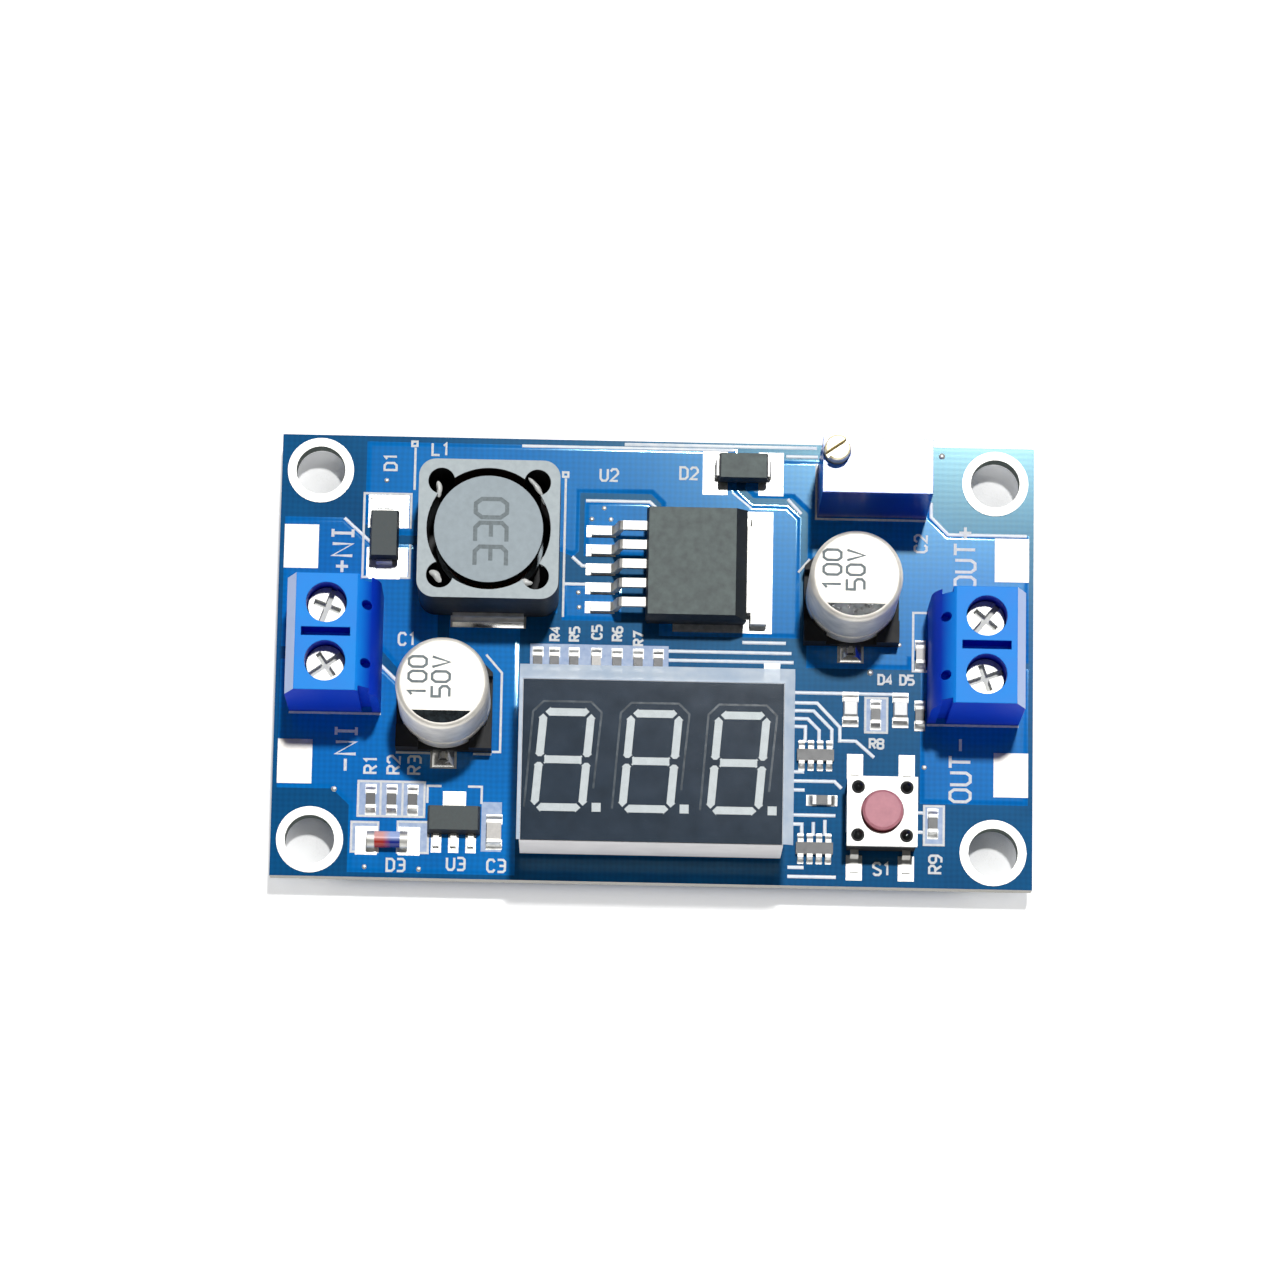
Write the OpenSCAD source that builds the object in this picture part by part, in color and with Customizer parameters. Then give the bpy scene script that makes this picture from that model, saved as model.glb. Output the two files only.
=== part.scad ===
// Boost converter module: a circuit board with screw terminals, a power stage and a digit display.
// Millimetres. Z is up, X runs from the input terminal to the output terminal, Y runs to the back.
// The origin is the centre of the mounting holes on the underside of the board.

/* [Board] */
// Board size, left to right
board_length = 66; // [65:0.5:70]
// Board size, front to back
board_width = 39.2; // [38.8:0.2:43]
// Board thickness
board_thickness = 1.6; // [1:0.2:2]
// Length of the pins below the board
pin_drop = 2; // [1.4:0.1:3]
// Radius of a mounting hole
mount_hole_radius = 2.15; // [1.5:0.05:2.3]
// Width of the tinned ring round a mounting hole
mount_ring_width = 0.75; // [0.4:0.05:0.8]
// Mounting hole centre to the board's left or right edge
mount_inset_x = 3.4; // [3.2:0.1:3.8]
// Mounting hole centre to the board's front or back edge
mount_inset_y = 3.2; // [3.2:0.1:3.6]
// Thickness of a tinned pad
pad_thickness = 0.07; // [0.05:0.01:0.1]

/* [Screw terminals] */
// Height above the board
terminal_height = 10; // [9.6:0.1:12]
// Distance between the two poles
terminal_pitch = 5.08; // [5:0.01:5.2]
// Screw axis to the board's edge
terminal_inset = 4.75; // [4.6:0.05:5.2]
// Screw axis to the wire side
terminal_front = 3.5; // [3.3:0.1:4]
// Screw axis to the back of the block
terminal_back = 4.5; // [4.3:0.1:4.8]
// Radius of the rounded back
terminal_back_arc = 6; // [5:0.5:9]
// Depth of the flat top
terminal_top_depth = 5.25; // [4.6:0.05:5.6]
// Radius of the screw head
screw_head_radius = 1.65; // [1.5:0.05:1.8]
// Radius of the screw shank
screw_radius = 1.25; // [1:0.05:1.3]
// Width of a wire entry
wire_entry_width = 3.2; // [2.6:0.1:3.4]
// Height of a wire entry
wire_entry_height = 3; // [2.4:0.1:3.2]

/* [Inductor] */
// Side of the shield
inductor_side = 12.2; // [11.8:0.1:12.6]
// Height above the board
inductor_height = 8; // [6:0.1:9]
// Radius of the drum core
inductor_core_radius = 4.7; // [4.2:0.05:4.8]
// Gap between the drum core and the shield
inductor_gap = 0.65; // [0.4:0.05:0.7]
// Width of a terminal clip
inductor_clip_width = 6.2; // [4:0.1:7]

/* [Power regulator] */
// Body size across the leads
regulator_length = 8.8; // [8.6:0.1:9.4]
// Body size along the row of leads
regulator_width = 9.9; // [9.6:0.1:10.4]
// Body height
regulator_height = 4.4; // [4:0.1:4.8]
// Distance between leads
regulator_lead_pitch = 1.7; // [1.6:0.01:1.8]
// Width of a lead
regulator_lead_width = 0.8; // [0.6:0.05:0.9]
// Length of the tab beyond the body
regulator_tab_reach = 1.8; // [1.6:0.1:3]

/* [Diodes] */
// Length of a rectangular diode's body
diode_length = 4.3; // [4:0.1:4.6]
// Width of a rectangular diode's body
diode_width = 2.5; // [2.2:0.1:2.8]
// Height of a rectangular diode
diode_height = 2.25; // [1.9:0.05:2.5]
// Length of the glass diode over its end caps
glass_diode_length = 3.5; // [3.2:0.1:3.8]
// Radius of the glass diode's end caps
glass_diode_radius = 0.75; // [0.65:0.05:0.85]

/* [Trimmer] */
// Length of the body
trimmer_length = 9.5; // [9:0.1:10]
// Width of the body
trimmer_width = 4.8; // [4.4:0.1:5]
// Height of the body above the board
trimmer_height = 10; // [8:0.1:10.4]
// Radius of the adjusting screw
trimmer_screw_radius = 1.12; // [0.9:0.02:1.2]
// Height of the adjusting screw above the body
trimmer_screw_reach = 1.5; // [0.6:0.1:1.8]

/* [Capacitors] */
// Radius of a can
capacitor_radius = 4; // [3.6:0.05:4.2]
// Height above the board
capacitor_height = 10.2; // [8:0.1:12]

/* [Display] */
// Length of the case
display_length = 22.5; // [21.6:0.1:22.6]
// Width of the case
display_width = 14.1; // [13:0.1:14.4]
// Height of the case
display_height = 6.9; // [6:0.1:8]
// Gap between the case and the board
display_lift = 1.3; // [1.25:0.05:2]
// Height of a digit
digit_height = 9.1; // [8:0.1:9.6]
// Width of a digit
digit_width = 4.9; // [4.4:0.1:5]
// Distance between digits
digit_pitch = 7.5; // [7.2:0.05:7.6]
// Width of a digit's segment
segment_width = 0.85; // [0.6:0.05:1]
// Lean of the digits, in degrees
digit_slant = 4.5; // [0:0.5:6]

/* [Push button] */
// Side of the metal cover
switch_side = 6.1; // [5.8:0.1:6.2]
// Height of the metal cover above the board
switch_height = 3.4; // [3.2:0.1:4]
// Height of the button above the cover
switch_button_reach = 0.9; // [0.6:0.1:6]
// Radius of the button
switch_button_radius = 1.75; // [1.5:0.05:1.8]

/* [Chip parts] */
// Length of a small chip
chip_length = 1.6; // [1.5:0.05:1.7]
// Width of a small chip
chip_width = 0.8; // [0.7:0.05:0.9]
// Height of a small chip
chip_height = 0.45; // [0.4:0.05:0.6]
// Length of a large chip
large_chip_length = 2; // [1.8:0.05:2.1]
// Width of a large chip
large_chip_width = 1.25; // [1.1:0.05:1.4]

/* [Hidden] */
$fn = 48;
half_length = board_length / 2;
half_width = board_width / 2;
top = board_thickness;
seat = board_thickness + pad_thickness;

// Clearances and wall sizes that more than one piece shares
running_gap = 0.1;
fit_gap = 0.02;
plating = 0.1;
tin_thickness = 0.25;

mount_x = half_length - mount_inset_x;
mount_y = half_width - mount_inset_y;
mount_ring_radius = mount_hole_radius + mount_ring_width;

// Screw terminals, heights measured from the board's top
terminal_x = half_length - terminal_inset;
terminal_length = 2 * terminal_pitch;
terminal_floor = 1.2;
terminal_wall = 1;
terminal_slope = 2.4;
terminal_arc_at = terminal_back - terminal_back_arc;
terminal_arc_low = terminal_height - sqrt(pow(terminal_back_arc, 2) - pow(terminal_top_depth / 2 - terminal_arc_at, 2));
terminal_groove_at = 3.3;
terminal_groove_width = 0.9;
terminal_groove_depth = 0.45;
divider_length = 4.2;
divider_width = 0.75;
divider_depth = 2.5;
test_hole_inset = 1.08;
test_hole_radius = 0.42;
test_hole_depth = 2.8;
chamber_half = wire_entry_width / 2 + 0.2;
chamber_top = terminal_height - 3.2;
chamber_back = 2.8;
contact_half = chamber_half - 0.15;
contact_plate = 0.6;
contact_back = chamber_back - running_gap;
contact_front = -(screw_radius + 0.2);
nut_plate_high = chamber_top - 1;
nut_plate = 1;
nut_plate_low = nut_plate_high - nut_plate;
guard_plate = 0.5;
guard_low = terminal_floor + contact_plate + 0.95;
guard_half = contact_half - 0.05;
guard_front = contact_front - 0.75;
guard_lip = 0.45;
head_low = nut_plate_high + 1.1;
head_thickness = 1.2;
bore_radius = screw_head_radius + running_gap;
terminal_pin_x = 1;
terminal_pin_y = 0.8;
terminal_pin_hole = 0.72;

// Places along the board, measured from its centre on a board of the drawn length;
// a longer or shorter board spreads them or closes them up
drawn_length = 66;
inductor_x = -14.6;
regulator_x = 3.45;
input_diode_x = -23.8;
output_diode_x = 7.45;
trimmer_x = 18.8;
display_x = -0.12;
switch_x = 19.8;
small_regulator_x = -17.15;
glass_diode_x = -22.85;
large_capacitor_x = -13.65;
sense_chips_x = -24.4;
sense_chips_pitch = 1.82;
array_x = 14.1;
beside_array_x = 14.7;
beside_switch_x = 24.35;
function along(x) = x * board_length / drawn_length;

// Places from the board's back edge, for the parts behind the middle, or from its front edge
inductor_edge = 9.9;
regulator_edge = 11.6;
input_diode_edge = 9.2;
output_diode_edge = 2.5;
trimmer_edge = 4.1;
display_edge = 9.2;
switch_edge = 6.1;
small_regulator_edge = 5.1;
glass_diode_edge = 3.2;
large_capacitor_edge = 4.15;
sense_chips_edge = 6.8;
back_array_edge = 11.45;
front_array_edge = 3.25;
beside_array_edge = 7.5;
beside_switch_edge = 5.65;
indicator_edge = 15.6;
indicator_chip_edge = 15.15;

// Inductor, heights measured from the pads
inductor_at = [along(inductor_x), half_width - inductor_edge];
inductor_corner = 1.5;
inductor_base_height = 0.6;
inductor_pocket_radius = 1.15;
shield_opening = inductor_core_radius + inductor_gap;
core_flange = 1.3;
core_post_radius = inductor_core_radius * 0.5;
core_drop = 0.15;
clip_thickness = 0.3;
clip_lip = 0.3;
clip_lip_height = 0.45;
clip_rise = 0.7;
clip_under = 1.9;

// Regulator, heights measured from the pads
regulator_at = [along(regulator_x), half_width - regulator_edge];
regulator_draft = 0.2;
regulator_nose = 1;
regulator_tab_height = 1.27;
lead_thickness = 0.5;
lead_height = 2.35;
lead_run = 2.1;
lead_foot = 1.9;
lead_drop = 0.75;
lead_root = 1;
regulator_front = -regulator_length / 2;
regulator_back = regulator_length / 2;
tab_root = 6.4;
tab_pad_margin = 0.5;
tab_pad_tuck = 0.7;

// Rectangular diodes
diode_draft = 0.16;
diode_gap = 0.12;
diode_lead_width = 1.4;
diode_lead_thickness = 0.2;
diode_lead_foot = 1.1;
diode_lead_reach = 0.3;
input_diode_at = [along(input_diode_x), half_width - input_diode_edge];
output_diode_at = [along(output_diode_x), half_width - output_diode_edge];

// Trimmer
trimmer_at = [along(trimmer_x), half_width - trimmer_edge];
trimmer_foot = 0.3;
trimmer_pin_radius = 0.25;
trimmer_pin_pitch = 2.54;
trimmer_pin_hole = 0.4;
trimmer_screw_inset = 1.2;
trimmer_screw_at = [-trimmer_length / 2 + trimmer_screw_inset, trimmer_width / 2 - trimmer_screw_inset];
trimmer_bore_depth = 3;

// Display, heights measured from the board's top
display_at = [along(display_x), -half_width + display_edge];
display_front_plate = 1.6;
display_wall = 1.1;
display_film = 0.15;
display_film_inset = 0.1;
display_top = display_lift + display_height;
display_pin_radius = 0.25;
display_pin_hole = 0.4;
display_pin_pitch = 2.54;
display_pin_rows = 10.16;
display_pin_root = 1.5;
segment_gap = 0.11;
point_side = 0.95;
point_gap = 0.35;

// Chips that stand against the back of the output terminal
chip_end = 0.3;
chip_pad_margin = 0.15;
beside_gap = 0.125;
chip_beside_terminal = terminal_x - terminal_back - beside_gap - (chip_width + chip_pad_margin) / 2;

// Capacitors, heights measured from the board's top. The input one stands between the input terminal
// and the display, the output one between the regulator's tab and the chips at the output terminal
capacitor_side = 2 * capacitor_radius + 0.3;
input_room = [-terminal_x + terminal_back, display_at[0] - display_length / 2];
output_room = [
    regulator_at[0] + regulator_back + regulator_tab_reach + tab_pad_margin,
    chip_beside_terminal - (chip_width + chip_pad_margin) / 2
];
function stand(room, share) =
    room[0] + capacitor_side / 2 + share * (room[1] - room[0] - capacitor_side);
input_capacitor_y = -4.3;
output_capacitor_y = 5.75;
input_capacitor_at = [stand(input_room, 0.343), input_capacitor_y];
output_capacitor_at = [stand(output_room, 0.651), output_capacitor_y];
capacitor_floor = 0.9;
capacitor_wall_height = 2.1;
capacitor_chamfer = 1.6;
capacitor_rim = 0.5;
capacitor_groove_radius = 0.4;
capacitor_groove_height = capacitor_wall_height + 0.95;
capacitor_lead_width = 0.9;
capacitor_lead_reach = 0.9;
capacitor_pad_width = 2.3;
capacitor_pad_reach = 1.5;

// Meter controller under the display
controller_at = [display_at[0], display_at[1]];
controller_length = 6.5;
controller_width = 4.4;
controller_height = 0.9;
controller_gap = 0.08;
controller_pitch = 0.65;
controller_lead_width = 0.24;
controller_lead_thickness = 0.13;
controller_lead_reach = 1;

// Push button
switch_at = [along(switch_x), -half_width + switch_edge];
switch_travel = 0.25;
switch_cover_thickness = 0.3;
switch_base_side = switch_side - 0.2;
switch_base_gap = 0.1;
switch_cover_drop = 1.6;
switch_cover_tab = 3.2;
switch_rivet_at = 2.1;
switch_rivet_radius = 0.55;
switch_lead_pitch = 4.5;
switch_lead_width = 0.7;
switch_lead_thickness = 0.2;
switch_lead_reach = 1.9;
switch_well_radius = 2.4;
switch_well_floor = 1;
switch_dome_radius = 2.2;
switch_dome_rise = 0.4;
switch_dome_thickness = 0.12;
switch_flange_radius = 2.15;
switch_flange = 0.5;
switch_base_top = switch_height - switch_cover_thickness;
switch_stem_radius = 0.8;
switch_stem_low = switch_well_floor + switch_dome_rise + switch_dome_thickness;
switch_flange_high = switch_base_top - 0.05;

// Small regulator
small_regulator_at = [along(small_regulator_x), -half_width + small_regulator_edge];
small_regulator_size = [4.6, 2.5, 1.5];
small_lead_pitch = 1.5;
small_lead_width = 0.5;
small_lead_thickness = 0.4;
small_lead_reach = 1.1;
small_tab_width = 1.7;
small_tab_reach = 1;

// Glass diode
glass_diode_at = [along(glass_diode_x), -half_width + glass_diode_edge];
glass_cap_length = 0.65;
glass_wall = 0.2;
glass_radius = glass_diode_radius - 0.04;
die_side = 0.5;
die_length = 0.35;

// Chip parts: [x, y, turn]
chip_row_x = [-10.2, -8.75, -7.05, -5.1, -3.3, -1.45, 0.3];
chip_row_y = -0.35;
terminal_chip_y = 0.9;
near_led_offset = 1.7;
led_chip_offset = 3.85;
far_led_offset = 6.05;
sense_chips = [for (k = [0 : 2]) along(sense_chips_x + sense_chips_pitch * k)];
chip_resistors = concat(
    [for (k = [0, 1, 2, 4, 5, 6]) [along(chip_row_x[k]), chip_row_y, 90]],
    [for (x = sense_chips) [x, -half_width + sense_chips_edge, 90]],
    [[along(beside_array_x), -half_width + beside_array_edge, 0]],
    [[along(beside_switch_x), -half_width + beside_switch_edge, 90]],
    [for (x = [0, led_chip_offset]) [chip_beside_terminal - x, -half_width + indicator_chip_edge, 90]]
);
chip_capacitors = [
    [along(chip_row_x[3]), chip_row_y, 90],
    [chip_beside_terminal, terminal_chip_y, 90]
];
large_capacitors = [[along(large_capacitor_x), -half_width + large_capacitor_edge, 90]];
indicator_leds = [
    for (x = [near_led_offset, far_led_offset])
        [chip_beside_terminal - x, -half_width + indicator_edge, 90]
];
led_base_height = 0.35;
led_lens_height = 0.45;
led_lens_length = 1.3;
large_chip_height = 0.8;
array_length = 3.2;
array_width = 1.6;
array_height = 0.5;
array_pitch = 0.8;
array_end_width = 0.5;
resistor_arrays = [
    for (edge = [back_array_edge, front_array_edge])
        [along(array_x), -half_width + edge]
];

wire_pad_size = [3, 3.9];
wire_pad_inset = 1.9;
wire_pad_y = 9.55;

blue_mask = "#0B5FB4";
terminal_blue = "#1E73E6";
tin = "#D9DBDD";
solder_grey = "#B9BCC0";
steel = "#C9CCCF";
ferrite_grey = "#A7B4B8";
black_plastic = "#2A2D30";
dark_plastic = "#4B5356";
aluminium = "#C3C6C8";
brass = "#D9B65A";
copper = "#B4693C";
case_grey = "#CFC9C6";
face_grey = "#3A4249";
segment_white = "#CDD1CC";
resin_white = "#D8D6CF";
button_red = "#B5606B";
glass_orange = "#C8562E";
ceramic_tan = "#B89B78";
led_white = "#EEF0EE";

// A box centred in X and Y that starts at a height
module block(size, low) {
    translate([-size[0] / 2, -size[1] / 2, low])
        cube(size);
}

// A box given by its low and high corners
module span(low, high) {
    translate(low)
        cube(high - low);
}

module rounded_square(side, radius) {
    square([side, side - 2 * radius], center = true);
    square([side - 2 * radius, side], center = true);
    for (x = [-1, 1])
        for (y = [-1, 1])
            translate([x, y] * (side / 2 - radius))
                circle(radius);
}

// A block whose sides lean in by the draft from the low end to the high end
module drafted_block(size, draft, low) {
    x = size[0] / 2;
    y = size[1] / 2;
    far = low + size[2];
    polyhedron(
        points = [
            [-x, -y, low],
            [x, -y, low],
            [x, y, low],
            [-x, y, low],
            [-x + draft, -y + draft, far],
            [x - draft, -y + draft, far],
            [x - draft, y - draft, far],
            [-x + draft, y - draft, far]
        ],
        faces = [[0, 1, 2, 3], [7, 6, 5, 4], [0, 4, 5, 1], [1, 5, 6, 2], [2, 6, 7, 3], [3, 7, 4, 0]]
    );
}

module at_mounting_holes() {
    for (x = [-1, 1])
        for (y = [-1, 1])
            translate([x * mount_x, y * mount_y, 0])
                children();
}

// side is -1 for the input block and 1 for the output block
module at_terminal(side) {
    translate([side * terminal_x, 0, top])
        rotate([0, 0, side > 0 ? 180 : 0])
            children();
}

// pole is 1 for the back pole and -1 for the front pole
module at_pole(side, pole) {
    translate([side * terminal_x, pole * terminal_pitch / 2, top])
        rotate([0, 0, side > 0 ? 180 : 0])
            children();
}

module at_trimmer_pins() {
    for (k = [-1 : 1])
        translate([trimmer_at[0] + k * trimmer_pin_pitch, trimmer_at[1] - 0.6, 0])
            children();
}

module at_display_pins() {
    for (k = [0 : 5])
        for (y = [-1, 1])
            translate([
                display_at[0] + (k - 2.5) * display_pin_pitch,
                display_at[1] + y * display_pin_rows / 2,
                0
            ])
                children();
}

module at_spots(spots) {
    for (s = spots)
        translate([s[0], s[1], seat])
            rotate([0, 0, s[2]])
                children();
}

module circuit_board() {
    color(blue_mask)
        difference() {
            block([board_length, board_width, board_thickness], 0);
            at_mounting_holes()
                translate([0, 0, -1])
                    cylinder(r = mount_hole_radius + plating + fit_gap, h = board_thickness + 2);
            for (side = [-1, 1])
                for (pole = [-1, 1])
                    translate([side * terminal_x, pole * terminal_pitch / 2, -1])
                        cylinder(r = terminal_pin_hole, h = board_thickness + 2);
            at_trimmer_pins()
                translate([0, 0, -1])
                    cylinder(r = trimmer_pin_hole, h = board_thickness + 2);
            at_display_pins()
                translate([0, 0, -1])
                    cylinder(r = display_pin_hole, h = board_thickness + 2);
        }
}

module mounting_rings() {
    color(tin)
        at_mounting_holes()
            difference() {
                union() {
                    translate([0, 0, -pad_thickness])
                        cylinder(r = mount_ring_radius, h = pad_thickness);
                    cylinder(r = mount_hole_radius + plating, h = board_thickness);
                    translate([0, 0, board_thickness])
                        cylinder(r = mount_ring_radius, h = pad_thickness);
                }
                translate([0, 0, -1])
                    cylinder(r = mount_hole_radius, h = board_thickness + 2);
            }
}

module wire_pads() {
    color(tin)
        for (x = [-1, 1])
            for (y = [-1, 1])
                translate([x * (half_length - wire_pad_inset), y * wire_pad_y, 0])
                    block([wire_pad_size[0], wire_pad_size[1], pad_thickness], top);
}

module pad(x, y, length, width) {
    translate([x, y, 0])
        block([length, width, pad_thickness], top);
}

module chip_pads(spots, length, width) {
    for (s = spots)
        for (end = [-1, 1])
            translate([s[0], s[1], 0])
                rotate([0, 0, s[2]])
                    translate([end * (length / 2 + 0.1), 0, 0])
                        block([chip_end * 2 + 0.3, width + chip_pad_margin, pad_thickness], top);
}

module solder_pads() {
    color(tin) {
        // Inductor
        for (y = [-1, 1])
            pad(inductor_at[0], inductor_at[1] + y * (inductor_side / 2 - 0.5), inductor_clip_width + 0.4, 3);
        // Regulator leads and tab
        for (k = [-2 : 2])
            pad(
                regulator_at[0] + regulator_front - lead_run - lead_foot - lead_drop + 0.8,
                regulator_at[1] + k * regulator_lead_pitch,
                2.6,
                regulator_lead_width + 0.25
            );
        translate([regulator_at[0], regulator_at[1], 0])
            union() {
                span(
                    [regulator_back - tab_root, -regulator_width / 2 + tab_pad_tuck, top],
                    [regulator_back + 0.2, regulator_width / 2 - tab_pad_tuck, seat]
                );
                span(
                    [regulator_back, -regulator_width / 2 - tab_pad_margin, top],
                    [regulator_back + regulator_tab_reach + tab_pad_margin, regulator_width / 2 + tab_pad_margin, seat]
                );
            }
        // Diodes
        for (end = [-1, 1]) {
            pad(input_diode_at[0], input_diode_at[1] + end * (diode_length / 2 + 0.3), 2.7, 2.4);
            pad(output_diode_at[0] + end * (diode_length / 2 + 0.3), output_diode_at[1] - 0.25, 2.2, 3.9);
            pad(glass_diode_at[0] + end * (glass_diode_length / 2 + 0.1), glass_diode_at[1], 1.9, 2.5);
        }
        // Capacitors
        for (at = [input_capacitor_at, output_capacitor_at])
            for (y = [-1, 1])
                pad(
                    at[0],
                    at[1] + y * (capacitor_side / 2 + capacitor_pad_reach / 2 - 1),
                    capacitor_pad_width,
                    capacitor_pad_reach + 2
                );
        // Meter controller
        for (k = [0 : 9])
            for (y = [-1, 1])
                pad(
                    controller_at[0] + (k - 4.5) * controller_pitch,
                    controller_at[1] + y * (controller_width / 2 + controller_lead_reach - 0.3),
                    controller_lead_width + 0.12,
                    1.2
                );
        // Push button
        for (x = [-1, 1])
            for (y = [-1, 1])
                pad(
                    switch_at[0] + x * switch_lead_pitch / 2,
                    switch_at[1] + y * (switch_base_side / 2 + switch_lead_reach - 0.4),
                    switch_lead_width + 0.7,
                    2.2
                );
        // Small regulator
        for (k = [-1 : 1])
            pad(
                small_regulator_at[0] + k * small_lead_pitch,
                small_regulator_at[1] - small_regulator_size[1] / 2 - small_lead_reach / 2 - 0.1,
                small_lead_width + 0.4,
                small_lead_reach + 0.8
            );
        pad(
            small_regulator_at[0],
            small_regulator_at[1] + small_regulator_size[1] / 2 + 0.1,
            small_tab_width + 0.3,
            small_tab_reach + 1.4
        );
        // Chip parts
        chip_pads(chip_resistors, chip_length, chip_width);
        chip_pads(chip_capacitors, chip_length, chip_width);
        chip_pads(large_capacitors, large_chip_length, large_chip_width);
        chip_pads(indicator_leds, large_chip_length, large_chip_width);
        for (a = resistor_arrays)
            for (k = [-1.5 : 1.5])
                for (y = [-1, 1])
                    pad(a[0] + k * array_pitch, a[1] + y * (array_width / 2 + 0.1), array_end_width, 0.9);
    }
}

// A cone of solder under the board round a round pin
module round_joint(pin_radius) {
    difference() {
        translate([0, 0, -0.9])
            cylinder(r1 = pin_radius + 0.12, r2 = 0.85, h = 0.9);
        translate([0, 0, -2])
            cylinder(r = pin_radius + fit_gap, h = 3);
    }
}

module solder_joints() {
    color(solder_grey) {
        for (side = [-1, 1])
            for (pole = [-1, 1])
                translate([side * terminal_x, pole * terminal_pitch / 2, 0])
                    difference() {
                        translate([0, 0, -1.1])
                            cylinder(r1 = terminal_pin_hole + 0.08, r2 = 1.4, h = 1.1);
                        block([terminal_pin_x + 2 * fit_gap, terminal_pin_y + 2 * fit_gap, 4], -2);
                    }
        at_trimmer_pins()
            round_joint(trimmer_pin_radius);
        at_display_pins()
            round_joint(display_pin_radius);
    }
}

module terminal_profile() {
    polygon([
        [-terminal_front, 0],
        [0, 0],
        [0, terminal_height],
        [-terminal_top_depth / 2, terminal_height],
        [-terminal_front, terminal_height - terminal_slope]
    ]);
    square([terminal_top_depth / 2, terminal_height]);
    square([terminal_back, terminal_arc_low]);
    intersection() {
        translate([terminal_arc_at, terminal_arc_low])
            circle(terminal_back_arc);
        translate([0, terminal_arc_low])
            square([terminal_back, terminal_height - terminal_arc_low]);
    }
}

module terminal_housing() {
    difference() {
        translate([0, terminal_length / 2, 0])
            rotate([90, 0, 0])
                linear_extrude(height = terminal_length)
                    terminal_profile();
        for (pole = [-1, 1])
            translate([0, pole * terminal_pitch / 2, 0]) {
                // Chamber for the contact and the wire guard
                span(
                    [-terminal_front + terminal_wall, -chamber_half, terminal_floor],
                    [chamber_back, chamber_half, chamber_top]
                );
                // Wire entry
                span(
                    [-terminal_front - 1, -wire_entry_width / 2, terminal_floor + 0.3],
                    [-terminal_front + terminal_wall + 0.1, wire_entry_width / 2, terminal_floor + 0.3 + wire_entry_height]
                );
                // Screw well
                translate([0, 0, chamber_top - 0.5])
                    cylinder(r = bore_radius, h = terminal_height);
                // Slot for the contact's pin
                block([terminal_pin_x + running_gap, terminal_pin_y + running_gap, 4], -1);
                // Test point in the round back
                translate([terminal_back - test_hole_inset, 0, terminal_height - test_hole_depth])
                    cylinder(r = test_hole_radius, h = test_hole_depth + 1);
            }
        // Slot between the screws
        block([divider_length, divider_width, divider_depth + 1], terminal_height - divider_depth);
        // Grooves that hold two blocks side by side
        for (end = [-1, 1])
            translate([terminal_groove_at, end * terminal_length / 2, 0])
                block([terminal_groove_width, 2 * terminal_groove_depth, terminal_height + 2], -1);
    }
}

module terminal_contact() {
    difference() {
        span([contact_front, -contact_half, nut_plate_low], [contact_back, contact_half, nut_plate_high]);
        translate([0, 0, nut_plate_low - 1])
            cylinder(r = screw_radius + 0.05, h = 4);
    }
    span(
        [contact_back - contact_plate, -contact_half, terminal_floor],
        [contact_back, contact_half, nut_plate_low]
    );
    span(
        [guard_front, -contact_half + 0.3, terminal_floor],
        [contact_back, contact_half - 0.3, terminal_floor + contact_plate]
    );
    block(
        [terminal_pin_x, terminal_pin_y, terminal_floor + board_thickness + pin_drop],
        -board_thickness - pin_drop
    );
}

module terminal_screw() {
    difference() {
        union() {
            translate([0, 0, guard_low + guard_plate + fit_gap])
                cylinder(r = screw_radius, h = head_low - guard_low - guard_plate - fit_gap);
            translate([0, 0, head_low])
                cylinder(r = screw_head_radius, h = head_thickness);
        }
        block([2 * screw_head_radius + 1, 0.5, 2], head_low + head_thickness - 0.7);
        block([0.5, 2 * screw_head_radius - 0.9, 2], head_low + head_thickness - 0.7);
    }
}

module terminal_wire_guard() {
    span(
        [guard_front, -guard_half, guard_low],
        [screw_radius + 0.2, guard_half, guard_low + guard_plate]
    );
    span(
        [guard_front, -guard_half, guard_low],
        [guard_front + guard_lip, guard_half, nut_plate_low + 0.4]
    );
}

module in_terminal_housing() {
    color(terminal_blue)
        at_terminal(-1)
            terminal_housing();
}

module out_terminal_housing() {
    color(terminal_blue)
        at_terminal(1)
            terminal_housing();
}

module in_terminal_contacts() {
    color(tin)
        for (pole = [-1, 1])
            at_pole(-1, pole)
                terminal_contact();
}

module out_terminal_contacts() {
    color(tin)
        for (pole = [-1, 1])
            at_pole(1, pole)
                terminal_contact();
}

module in_plus_screw() {
    color(steel)
        at_pole(-1, 1)
            rotate([0, 0, 70])
                terminal_screw();
}

module in_minus_screw() {
    color(steel)
        at_pole(-1, -1)
            rotate([0, 0, 35])
                terminal_screw();
}

module out_plus_screw() {
    color(steel)
        at_pole(1, 1)
            rotate([0, 0, 50])
                terminal_screw();
}

module out_minus_screw() {
    color(steel)
        at_pole(1, -1)
            rotate([0, 0, 20])
                terminal_screw();
}

module in_plus_wire_guard() {
    color(steel)
        at_pole(-1, 1)
            terminal_wire_guard();
}

module in_minus_wire_guard() {
    color(steel)
        at_pole(-1, -1)
            terminal_wire_guard();
}

module out_plus_wire_guard() {
    color(steel)
        at_pole(1, 1)
            terminal_wire_guard();
}

module out_minus_wire_guard() {
    color(steel)
        at_pole(1, -1)
            terminal_wire_guard();
}

module at_inductor() {
    translate([inductor_at[0], inductor_at[1], seat])
        children();
}

module inductor_base() {
    color(black_plastic)
        at_inductor()
            translate([0, 0, tin_thickness])
                linear_extrude(height = inductor_base_height)
                    rounded_square(inductor_side, inductor_corner);
}

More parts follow.
